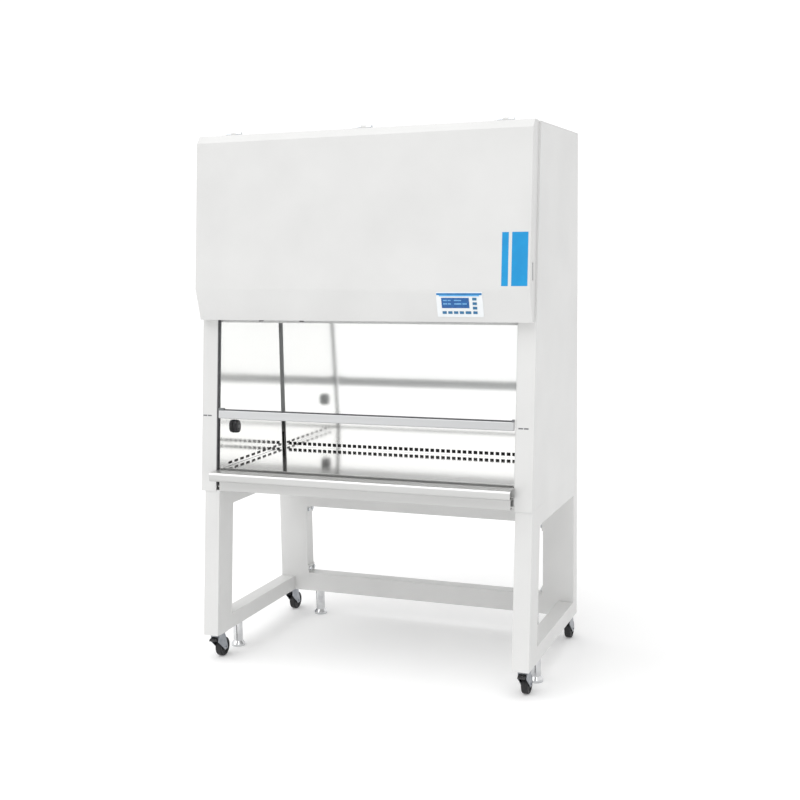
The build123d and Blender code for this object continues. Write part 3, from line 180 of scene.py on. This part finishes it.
# Plastic plugs in the outer face of each lower beam, over the holes through which the caster
# bolts are reached. Moulded grey polypropylene with a softened rim, pressed in below the face.
def disc(name, radius, height, middle, axis, edge, body, material):
    """A round piece with a softened rim: its middle, its axis (0 x, 1 y, 2 z) and its body."""
    bpy.ops.object.select_all(action="DESELECT")
    turn = ((0, radians(90), 0), (radians(90), 0, 0), (0, 0, 0))[axis]
    bpy.ops.mesh.primitive_cylinder_add(vertices=40, radius=radius, depth=height,
                                        location=middle, rotation=turn)
    piece = bpy.context.active_object
    piece.name = name
    bpy.ops.object.transform_apply(location=True, rotation=True, scale=True)
    bevel = piece.modifiers.new("rim", "BEVEL")
    bevel.width = edge
    bevel.segments = 3
    bevel.limit_method = "ANGLE"
    bevel.angle_limit = radians(40)
    bpy.ops.object.modifier_apply(modifier=bevel.name)
    bpy.ops.object.shade_smooth_by_angle(angle=radians(35))
    finish_with(piece, material)
    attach(piece, body)
    return piece


plug_plastic = surface("moulded_polypropylene_grey", ("6E7072", "7A7C7E"), 9, 0.9, 0.02, (0.4, 0.55))
plug_radius = 0.0065
plug_height = 0.0018
plug_depth = 0.0011
plug_rise = 0.034
for side, inward in (("left", 1), ("right", -1)):
    beam_low, beam_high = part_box(f"stand_frame_{side}")
    outer_x = beam_low.x if inward > 0 else beam_high.x
    for count, share in enumerate((0.3, 0.62)):
        middle = (outer_x + inward * plug_depth, beam_low.y + share * (beam_high.y - beam_low.y),
                  beam_low.z + plug_rise)
        disc(f"beam_plug_{side}_{count + 1}", plug_radius, plug_height, middle, 0, 0.0006, "cabinet",
             plug_plastic)

# Casters: zinc plated forks and black wheels with a cap over each end of the axle, and a brake
# pedal on the two front ones. The tread is moulded polyurethane, dull with a fine mould texture.
wheel_rubber = surface("polyurethane_tread_black", ("141416", "1F1F22"), 14, 1.2, 0.08, (0.5, 0.7))
fork_paint = surface("zinc_plated_fork", ("8F9399", "A6A9AE"), 16, 0.9, 0.03, (0.3, 0.42),
                     Metallic=1.0)
pedal_plastic = surface("glass_filled_nylon_black", ("1A1A1C", "242427"), 12, 1.0, 0.04, (0.45, 0.6))
hub_radius = 0.013
hub_height = 0.0016
for corner in ("front_left", "front_right", "rear_left", "rear_right"):
    wheel = eased(f"wheel_{corner}", f"wheel_{corner}_moulded", 0.0015, 2)
    finish_with(wheel, wheel_rubber)
    dress(fork_paint, f"fork_{corner}")
    wheel_low, wheel_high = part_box(f"wheel_{corner}")
    hub = (wheel_low + wheel_high) / 2
    for end, reach in (("a", wheel_low.x), ("b", wheel_high.x)):
        disc(f"hub_cover_{corner}_{end}", hub_radius, hub_height, (reach, hub.y, hub.z), 0, 0.0006,
             f"wheel_{corner}_body", pedal_plastic)
dress(pedal_plastic, "pedal_front_left", "pedal_front_right")

# Levelling feet: turned and polished stainless tubes with flared bases, screwed into the beams
# beside the casters, and wound down to the floor once the cabinet stands in its place.
polished_foot = surface("polished_stainless_foot", ("C9CACC", "DADBDC"), 30, 1.5, 0.01, (0.1, 0.18),
                        Metallic=1.0)
dress(polished_foot, "foot_front_left", "foot_front_right", "foot_rear_left", "foot_rear_right")

# Cabinet shell: folded steel sheets with small bend radii, powder coated white like the stand,
# and joined behind the front posts and the rear panel.
for node, radius in (("side_panel_left", 0.0006), ("side_panel_right", 0.0006),
                     ("roof_panel", 0.0006), ("rear_panel", 0.0005), ("front_posts", 0.0008)):
    sheet = eased(node, f"{node}_coated", radius, 2)
    finish_with(sheet, powder_coat)

# Level marks on both posts: two short printed dashes each, which show the working height of the
# sash. Grey screen-print ink, drawn as a film 0.2 mm proud of the post.
slope = tan(radians(5.42))
depth_at_floor = 0.7565
rear_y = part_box("rear_panel")[1].y


def front(height, setback=0.0):
    """Y of the leaning front plane at a height, or of a plane that far behind it."""
    return rear_y - depth_at_floor + slope * height + setback


def block(name, low, high, edge, body, material, segments=2):
    """A block with softened edges between two corners, on one body."""
    bpy.ops.object.select_all(action="DESELECT")
    bpy.ops.mesh.primitive_cube_add(size=1, location=(Vector(low) + Vector(high)) / 2)
    piece = bpy.context.active_object
    piece.name = name
    piece.scale = Vector(high) - Vector(low)
    bpy.ops.object.transform_apply(location=True, rotation=True, scale=True)
    bevel = piece.modifiers.new("edges", "BEVEL")
    bevel.width = edge
    bevel.segments = segments
    bpy.ops.object.modifier_apply(modifier=bevel.name)
    bpy.ops.object.shade_smooth_by_angle(angle=radians(35))
    finish_with(piece, material)
    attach(piece, body)
    return piece


def lean(piece):
    """Leans a piece that was made with y as its setback, so that it follows the front plane."""
    for point in piece.data.vertices:
        point.co.y += front(point.co.z)
    piece.data.update()
    return piece


ink = surface("screen_print_ink_grey", ("6A6B6D", "75767A"), 6, 0.8, 0.01, (0.5, 0.6))
mark_low = 0.971
mark_high = 0.976
mark_length = 0.017
film = 0.0002
for count, left in enumerate((-0.665, -0.645, 0.613, 0.633)):
    lean(block(f"level_mark_{count + 1}", (left, -film, mark_low), (left + mark_length, 3 * film, mark_high),
               film / 2, "cabinet", ink, 1))

# Inside the head: the pressure box is folded steel, coated white because its front wall is the
# header over the opening. The blower's frame is galvanised sheet with a flat cold spangle, drawn
# 12 mm across, its wheel is aluminium, and the weights are plain cast iron.
galvanised = surface("galvanised_sheet", ("A4A7AA", "BDBFC1"), 12, 3.0, 0.02, (0.38, 0.55),
                     Metallic=0.9)
dress(galvanised, "blower_frame")
dress(powder_coat, "plenum_box")
cast_iron = surface("cast_iron_weight", ("3A3A3B", "4A4948"), 25, 2.0, 0.3, (0.6, 0.8), Metallic=0.6)
dress(cast_iron, "counterweight_left", "counterweight_right")
filter_media = surface("glass_fibre_filter_paper", ("EDEAE2", "F5F3EE"), 22, 1.0, 0.1, (0.8, 0.95))
dress(filter_media, "supply_filter", "exhaust_filter")
fan_aluminium = surface("spun_aluminium", ("B8BABC", "C8CACB"), 40, 1.2, 0.03, (0.28, 0.4),
                        stretch=(1, 6, 1), Metallic=1.0)
dress(fan_aluminium, "blower_impeller")
belt_rubber = surface("neoprene_belt", ("202022", "2A2A2C"), 10, 1.0, 0.08, (0.6, 0.75))
dress(belt_rubber, "sash_belts")
dress(bright_zinc, "tie_shaft", "lower_pulley_left", "lower_pulley_right")

# Work chamber: stainless sheet, mirror polished on the side liners, the rear baffle and the
# worktop, so the walls show the white room and a soft picture of the sash bar in front of them.
mirror_steel = surface("mirror_polished_stainless", ("FBFBFA", "FDFDFC"), 420, 9.0, 0.004, (0.075, 0.1),
                       Metallic=1.0)
brushed_steel = surface("brushed_stainless", ("C3C3C2", "CECECD"), 60, 0.9, 0.02, (0.36, 0.48),
                        stretch=(0.06, 1, 1), Metallic=1.0)
# Painted shade: a near-black sheet stands in for the unlit ducts behind the slots of the rear baffle and the
# grille.
painted_duct_shade = surface("painted_duct_shade_black", ("1C1C1D", "262627"), 60, 2.0, 0.02, (0.5, 0.7))
dress(mirror_steel, "side_liners", "diffuser")
dress(brushed_steel, "lower_front_panel", "drain_pan")
dress(mirror_steel, "work_tray")


# Rear baffle: the same polished sheet with a row of punched return slots just above the
# worktop. It is drawn from a grid whose slot cells are taken out, then thickened.
def slotted(name, columns, rows, opened, place, thickness, body, material):
    """A sheet with slots, from a grid.

    columns and rows are the positions of the grid's lines, opened tells whether the cell at a
    column and a row is a slot, and place turns a position on the grid into a point.
    """
    bpy.ops.object.select_all(action="DESELECT")
    bpy.ops.mesh.primitive_grid_add(x_subdivisions=len(columns) - 1, y_subdivisions=len(rows) - 1, size=1)
    piece = bpy.context.active_object
    piece.name = name
    across = len(columns)
    for index, point in enumerate(piece.data.vertices):
        point.co = place(columns[index % across], rows[index // across])
    bpy.ops.object.mode_set(mode="EDIT")
    bpy.ops.mesh.select_mode(type="FACE")
    bpy.ops.mesh.select_all(action="DESELECT")
    bpy.ops.object.mode_set(mode="OBJECT")
    for index, face in enumerate(piece.data.polygons):
        face.select = opened(index % (across - 1), index // (across - 1))
    bpy.ops.object.mode_set(mode="EDIT")
    bpy.ops.mesh.delete(type="FACE")
    bpy.ops.object.mode_set(mode="OBJECT")
    thick = piece.modifiers.new("sheet", "SOLIDIFY")
    thick.thickness = thickness
    thick.offset = 0
    bpy.ops.object.modifier_apply(modifier=thick.name)
    finish_with(piece, material)
    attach(piece, body)
    return piece


def slot_edges(low, high, pitch, opening):
    """Edge positions of evenly spaced slots between two ends, the whole width included."""
    count = int((high - low) / pitch)
    start = (low + high) / 2 - count * pitch / 2 + (pitch - opening) / 2
    edges = [low]
    for step in range(count):
        edges += [start + step * pitch, start + step * pitch + opening]
    return edges + [high]


gauge = 0.0015
baffle_low, baffle_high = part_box("rear_baffle")
return_pitch = 0.0235
return_opening = 0.016
return_height = 0.014
return_rise = 0.0075
baffle_columns = slot_edges(baffle_low.x, baffle_high.x, return_pitch, return_opening)
slot_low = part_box("work_tray")[1].z + return_rise
baffle_rows = [baffle_low.z, slot_low, slot_low + return_height, baffle_high.z]
baffle = slotted("rear_baffle_polished", baffle_columns, baffle_rows,
                 lambda column, row: row == 1 and column % 2 == 1,
                 lambda x, z: Vector((x, baffle_low.y + gauge / 2, z)), gauge, "cabinet", mirror_steel)
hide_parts("rear_baffle")
# The duct behind the slots is unlit, so they read black. A dark sheet just behind them is painted shade,
# standing in for that unlit duct.
shade_sheet_gap = 0.03
shade_sheet_thickness = 0.002
block("return_duct_painted_shade", (baffle_low.x + shade_sheet_thickness, baffle_high.y + shade_sheet_gap, slot_low - 0.03),
      (baffle_high.x - shade_sheet_thickness, baffle_high.y + shade_sheet_gap + shade_sheet_thickness, slot_low + 0.05), 0.0003, "cabinet",
      painted_duct_shade, 1)

# Intake grille: brushed sheet with close narrow slots, between the armrest and the worktop. Its
# front edge is folded down behind the armrest.
grille_low, grille_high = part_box("front_grille")
grille_pitch = 0.012
grille_opening = 0.0085
grille_top = grille_high.z
grille_near = front(grille_top) + 0.001
grille_far = grille_high.y - 0.010
grille_columns = slot_edges(grille_low.x, grille_high.x, grille_pitch, grille_opening)
grille_rows = [grille_near, grille_near + 0.004, grille_far, grille_high.y]
grille = slotted("front_grille_slotted", grille_columns, grille_rows,
                 lambda column, row: row == 1 and column % 2 == 1,
                 lambda x, y: Vector((x, y, grille_top - gauge / 2)), gauge, "cabinet", brushed_steel)
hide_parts("front_grille")
block("grille_front_fold", grille_low, (grille_high.x, grille_low.y + gauge, grille_top - 0.0016), 0.0004,
      "cabinet", brushed_steel)
# The suction duct under the grille is unlit too, so a dark sheet below the slots is painted shade, standing
# in for that unlit duct.
block("suction_duct_painted_shade", (grille_low.x + shade_sheet_thickness, grille_near + shade_sheet_thickness, grille_top - shade_sheet_gap),
      (grille_high.x - shade_sheet_thickness, grille_far - shade_sheet_thickness, grille_top - shade_sheet_gap + shade_sheet_thickness), 0.0003, "cabinet",
      painted_duct_shade, 1)

# Armrest: one bent sheet of brushed stainless with a rounded nose, open at its ends and back,
# screwed to the fold of the grille. Light runs along its nose as one soft line.
rest_low, rest_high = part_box("armrest")
bpy.ops.object.select_all(action="DESELECT")
bpy.ops.mesh.primitive_cube_add(size=1, location=(rest_low + rest_high) / 2)
armrest = bpy.context.active_object
armrest.name = "armrest_bent"
armrest.scale = rest_high - rest_low
bpy.ops.object.transform_apply(location=True, rotation=True, scale=True)
nose_radius = 0.011
for point in armrest.data.vertices:
    if point.co.y > rest_high.y - 0.001:
        point.co.y = front(point.co.z) - 0.0002
for edge in armrest.data.edges:
    ends = [armrest.data.vertices[i].co for i in edge.vertices]
    edge.select = all(end.y < rest_low.y + 0.001 for end in ends) and abs(ends[0].x - ends[1].x) > 0.5
for face in armrest.data.polygons:
    face.select = False
bpy.ops.object.mode_set(mode="EDIT")
bpy.ops.mesh.select_mode(type="EDGE")
bpy.ops.mesh.bevel(offset=nose_radius, segments=8, affect="EDGES")
bpy.ops.mesh.select_all(action="DESELECT")
bpy.ops.object.mode_set(mode="OBJECT")
for face in armrest.data.polygons:
    face.select = abs(face.normal.x) > 0.9 or face.normal.y > 0.9
bpy.ops.object.mode_set(mode="EDIT")
bpy.ops.mesh.select_mode(type="FACE")
bpy.ops.mesh.delete(type="FACE")
bpy.ops.object.mode_set(mode="OBJECT")
wall = armrest.modifiers.new("sheet", "SOLIDIFY")
wall.thickness = gauge
wall.offset = -1
bpy.ops.object.modifier_apply(modifier=wall.name)
bpy.ops.object.shade_smooth_by_angle(angle=radians(35))
finish_with(armrest, brushed_steel)
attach(armrest, "cabinet")
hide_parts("armrest")

# Work lamp: an aluminium housing behind the header with a milky acrylic lens, which glows. The
# lens is the lowest part of the housing, so its faces are picked by their height.
lamp = eased("work_lamp", "work_lamp_with_lens", 0.001, 2)
lens = surface("opal_acrylic_lens", ("F4F7FA", "FAFCFF"), 60, 2.0, 0.01, (0.3, 0.4))
lens_shader = lens.node_tree.nodes["Principled BSDF"]
lens_shader.inputs["Emission Color"].default_value = colour("F2F7FF")
lens_shader.inputs["Emission Strength"].default_value = 1.6
housing = surface("lamp_housing_white", ("E4E5E6", "EAEBEC"), 90, 1.5, 0.05, (0.4, 0.5))
finish_with(lamp, housing, lens)
lens_thickness = 0.003
lens_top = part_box("work_lamp")[0].z + lens_thickness
for face in lamp.data.polygons:
    face.material_index = 1 if face.center.z < lens_top - 0.0001 else 0

# Service tap: an oval knob of black phenolic on the left wall, hollow behind, with a grey cap.
# It turns on a bright stem, and is a little larger across than the CAD node.
liner_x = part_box("side_liners")[0].x + gauge
tap_y = -0.1723
tap_z = 0.912
knob_radius = 0.0275
knob_length = 0.016
knob_gap = 0.002
knob_middle = liner_x + knob_gap + knob_length / 2
knob_plastic = surface("phenolic_black", ("0C0C12", "15151C"), 14, 1.0, 0.02, (0.22, 0.34))
bpy.ops.object.select_all(action="DESELECT")
bpy.ops.mesh.primitive_cylinder_add(vertices=72, radius=knob_radius, depth=knob_length,
                                    rotation=(0, radians(90), 0), location=(knob_middle, tap_y, tap_z))
knob = bpy.context.active_object
knob.name = "tap_knob_moulded"
bpy.ops.object.transform_apply(location=True, rotation=True, scale=True)
for point in knob.data.vertices:
    arm = Vector((point.co.y - tap_y, point.co.z - tap_z))
    turn = arm.angle_signed(Vector((0, 1))) if arm.length > 0.001 else 0
    oval = 1 - 0.125 * (1 - cos(2 * turn))
    taper = 0.9 if point.co.x > knob_middle else 1.0
    point.co.y = tap_y + arm.x * oval * taper
    point.co.z = tap_z + arm.y * oval * taper
bevel = knob.modifiers.new("rim", "BEVEL")
bevel.width = 0.003
bevel.segments = 4
bevel.limit_method = "ANGLE"
bevel.angle_limit = radians(40)
bpy.ops.object.modifier_apply(modifier=bevel.name)
bpy.ops.object.shade_smooth_by_angle(angle=radians(35))
for face in knob.data.polygons:
    face.select = face.normal.x < -0.95 and face.area > 0.0005
bpy.ops.object.mode_set(mode="EDIT")
bpy.ops.mesh.select_mode(type="FACE")
bpy.ops.mesh.inset(thickness=0.0055)
bpy.ops.mesh.extrude_region_move(TRANSFORM_OT_translate={"value": (0.0095, 0, 0)})
bpy.ops.object.mode_set(mode="OBJECT")
finish_with(knob, knob_plastic)
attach(knob, "knob")
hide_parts("tap_knob")
disc("tap_stem", 0.005, 0.020, (liner_x, tap_y, tap_z), 0, 0.0005, "knob", bright_zinc)
cap_middle = liner_x + knob_gap + knob_length + 0.0002
disc("tap_knob_cap", 0.007, 0.0016, (cap_middle, tap_y, tap_z), 0, 0.0006, "knob", ink)

# Sash guides: dark extruded strips down both sides of the opening, one before and one behind the
# glass. The left one's dark face shows, and the right one's front face is painted with the post.
guide_plastic = surface("extruded_guide_black", ("4C4C4F", "58585B"), 16, 1.0, 0.03, (0.45, 0.6))
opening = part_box("side_liners")[1].x - gauge
guide_width = 0.004
guide_low, guide_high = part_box("sash_guides")
for side, word in ((-1, "left"), (1, "right")):
    ends = sorted((side * opening, side * (opening - guide_width)))
    for where, near, far in (("front", 0.0020, 0.0075), ("rear", 0.0145, 0.0215)):
        strip = lean(block(f"sash_guide_{word}_{where}", (ends[0], near, guide_low.z),
                           (ends[1], far, guide_high.z), 0.0004, "cabinet", guide_plastic,
                           1))
        strip.data.materials.append(powder_coat)
        for face in strip.data.polygons:
            painted = face.normal.y < -0.8 and where == "front" and word == "right"
            face.material_index = 1 if painted else 0
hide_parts("sash_guides")

# Sash glass: one clear float pane, 6 mm thick with ground edges. It is drawn nearly see-through,
# so that only its reflections show, as on the real one in front of white walls.
float_glass = surface("float_glass_clear", ("F3F8F7", "F8FBFA"), 300, 60.0, 0.001, (0.01, 0.02),
                      IOR=1.5, Alpha=0.07)
glass = eased("sash_glass", "sash_glass_ground", 0.001, 2)
finish_with(glass, float_glass)

# Sash bar: satin anodised aluminium with a dark rubber lip along its top edge, clamped round the
# glass. Its ends stop just short of the guides, and bar and glass are trimmed to one lower edge.
anodised = surface("satin_anodised_aluminium", ("C4C5C6", "CECFD0"), 80, 0.9, 0.02, (0.32, 0.44),
                   stretch=(0.06, 1, 1), Metallic=0.55)
bar = eased("sash_handle", "sash_handle_anodised", 0.0008, 2)
bar_top = 1.0
bar_half = 0.603
end_zone = bar_half - 0.0045
left_end = -0.5935
right_end = 0.5975
set_back = 0.006
for point in bar.data.vertices:
    if point.co.z >= bar_top:
        continue
    if point.co.x < -end_zone:
        point.co.x = left_end + (point.co.x + bar_half)
    elif point.co.x > end_zone:
        point.co.x = right_end + (point.co.x - bar_half)
    if point.co.y < front(point.co.z, -0.0001):
        point.co.y += set_back
trimmed_below = 0.9665
trim = 0.0105
for piece in (bar, glass):
    for point in piece.data.vertices:
        if point.co.z < trimmed_below:
            point.co.z += trim
            point.co.y += slope * trim
finish_with(bar, anodised)
lip_front = -0.0065
lip_rear = 0.0045
lean(block("sash_bar_lip", (left_end + 0.0015, lip_front, bar_top - 0.0028),
           (right_end - 0.0015, lip_rear, bar_top + 0.0004), 0.0008, "sash", guide_plastic))
for end, left, right in (("left", left_end - 0.002, left_end + 0.0225),
                         ("right", right_end - 0.0085, right_end + 0.001)):
    lean(block(f"sash_bar_end_{end}", (left, lip_front - 0.0005, bar_top - 0.005),
               (right, lip_rear, bar_top + 0.0045), 0.0012, "sash", plug_plastic))

# Service door: one folded and coated sheet with its hinges on the roof. The hinge leaves are zinc
# plated and stand proud of the top edge.
door = eased("service_door", "service_door_coated", 0.0008, 3)
finish_with(door, powder_coat)
dress(bright_zinc, "hinge_leaves")
latch_plastic = surface("acetal_latch_grey", ("8A8B8E", "96979A"), 16, 1.0, 0.02, (0.4, 0.5))
dress(latch_plastic, "door_latch")

# Two plain upright bars of blue vinyl at the door's right edge, as an accent of colour only. They
# are cut from self-adhesive sheet and laid on the door's front face.
blue_vinyl = surface("cast_vinyl_blue", ("0090CF", "0098D6"), 40, 1.5, 0.01, (0.3, 0.4))
door_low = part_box("service_door")[0]
door_reach = -0.074
vinyl_low = 1.476
vinyl_high = 1.662
for count, (left, right) in enumerate(((0.560, 0.584), (0.596, 0.654))):
    lean(block(f"accent_bar_{count + 1}", (left, door_reach - 2 * film, vinyl_low),
               (right, door_reach + film, vinyl_high), film / 2, "door", blue_vinyl, 1))

# Control panel on the sloped band: a white plate with a blue header bar, a blue display behind
# glass with plain light lines, and nine blue keys that move in their holes.
bend_z = 1.468
foot_z = 1.3475
bend = Vector((0, front(bend_z, door_reach), bend_z))
foot = Vector((0, front(foot_z, -0.0325), foot_z))
down = (foot - bend).normalized()
outward = Vector((0, down.z, -down.y))


def on_band(name, left, right, top, bottom, lift, height, edge, body, material):
    """A block on the sloped band: drops are measured down it from the bend, lift away from it."""
    piece = block(name, (left, top, lift), (right, bottom, lift + height), edge, body, material)
    for point in piece.data.vertices:
        x, drop, rise = point.co
        point.co = Vector((x, 0, 0)) + bend + down * drop + outward * rise
    piece.data.update()
    only(piece)
    bpy.ops.object.mode_set(mode="EDIT")
    bpy.ops.mesh.select_all(action="SELECT")
    bpy.ops.mesh.normals_make_consistent(inside=False)
    bpy.ops.object.mode_set(mode="OBJECT")
    return piece


panel_plate = surface("moulded_abs_white", ("EEF2F4", "F3F6F8"), 30, 1.2, 0.02, (0.35, 0.45))
dress(panel_plate, "display")
header_blue = surface("polyester_overlay_blue", ("2377B4", "2C86C4"), 20, 1.0, 0.01, (0.28, 0.36))
header_light = surface("polyester_overlay_sky", ("5DB4F2", "6CBEF8"), 20, 1.0, 0.01, (0.28, 0.36))
screen_blue = surface("liquid_crystal_screen", ("15589B", "1C66AB"), 12, 1.5, 0.005, (0.08, 0.14))
screen_light = surface("liquid_crystal_segments", ("67A9DE", "79B6E6"), 5, 1.0, 0.005, (0.1, 0.16))
key_plastic = surface("silicone_key_blue", ("2A6C9F", "33799F"), 6, 1.0, 0.03, (0.4, 0.5))
plate = 0.0021
on_band("header_bar", 0.3195, 0.4885, 0.0160, 0.0235, plate, 0.0011, 0.0004, "door", header_blue)
on_band("header_bar_light", 0.3290, 0.4790, 0.0236, 0.0280, plate, 0.0009, 0.0004, "door", header_light)
on_band("display_glass", 0.3365, 0.4395, 0.0335, 0.0713, plate, 0.0011, 0.0005, "door", screen_blue)
for row, (top, bottom) in enumerate(((0.0410, 0.0450), (0.0530, 0.0580))):
    lines = ((0.343, 0.358), (0.361, 0.372), (0.384, 0.411), (0.415, 0.431))[:3 + row]
    for column, (left, right) in enumerate(lines):
        on_band(f"display_line_{row + 1}_{column + 1}", left, right, top, bottom, 0.0030, 0.0004, 0.0001,
                "door", screen_light)
for number in range(1, 10):
    key = eased(f"key_{number}", f"key_{number}_moulded", 0.0008, 2)
    finish_with(key, key_plastic)

# Two small sensor caps under the door's folded lower edge: moulded black plastic, pushed into
# holes in the fold so that they hang a few millimetres below it.
for name, x in (("left", -0.410), ("right", -0.238)):
    disc(f"sensor_cap_{name}", 0.009, 0.006, (x, front(door_low.z) - 0.010, door_low.z - 0.002), 2, 0.0015,
         "door", pedal_plastic)

# Camera: it stands where the photograph was taken, with the same lens. Its place and angles come
# from a fit of the cabinet's straight edges, and its height is above the floor.
camera_place = Vector((1.75271, -4.67827 + rear_y, 1.63001))
yaw = radians(21.5795)
pitch = radians(7.5117)
roll = radians(-0.96)
ahead = Vector((-sin(yaw) * cos(pitch), cos(yaw) * cos(pitch), -sin(pitch)))
level_right = Vector((cos(yaw), sin(yaw), 0))
level_up = level_right.cross(ahead)
rolled_right = cos(roll) * level_right + sin(roll) * level_up
rolled_up = -sin(roll) * level_right + cos(roll) * level_up
facing = Matrix((rolled_right, rolled_up, -ahead)).transposed().to_4x4()
camera_data = bpy.data.cameras.new("camera")
camera_data.sensor_width = 36
camera_data.lens = 53.54
camera = bpy.data.objects.new("camera", camera_data)
bpy.context.scene.collection.objects.link(camera)
camera.matrix_world = Matrix.Translation(camera_place) @ facing
bpy.context.scene.camera = camera

# Studio: a wide white floor that glows faintly to soften the shadows, a white room that fills from
# all round, and one large soft light from above and the front left.
bpy.ops.object.select_all(action="DESELECT")
bpy.ops.mesh.primitive_plane_add(size=60, location=(0, 0, 0))
floor = bpy.context.active_object
floor.name = "studio_floor"
floor_paint = surface("studio_floor_paint", ("F6F6F6", "F8F8F8"), 2000, 40.0, 0.01, (0.9, 0.95))
floor_shader = floor_paint.node_tree.nodes["Principled BSDF"]
floor_shader.inputs["Emission Color"].default_value = colour("FFFFFF")
floor_shader.inputs["Emission Strength"].default_value = 0.14
finish_with(floor, floor_paint)

world = bpy.data.worlds.new("studio")
bpy.context.scene.world = world
world.use_nodes = True
path = add_node(world.node_tree, "ShaderNodeLightPath")
fill = add_node(world.node_tree, "ShaderNodeMapRange", inputs={"To Min": 1.12, "To Max": 0.62},
                links={"Value": path.outputs["Is Diffuse Ray"]})
background = world.node_tree.nodes["Background"]
background.inputs["Color"].default_value = (1, 1, 1, 1)
world.node_tree.links.new(fill.outputs["Result"], background.inputs["Strength"])
sun_data = bpy.data.lights.new("soft_key", "SUN")
sun_data.energy = 1.65
sun_data.angle = radians(70)
sun = bpy.data.objects.new("soft_key", sun_data)
bpy.context.scene.collection.objects.link(sun)
sun.rotation_euler = Vector((0.22, 0.42, -1)).to_track_quat("-Z", "Y").to_euler()
bpy.context.scene.view_settings.view_transform = "Standard"
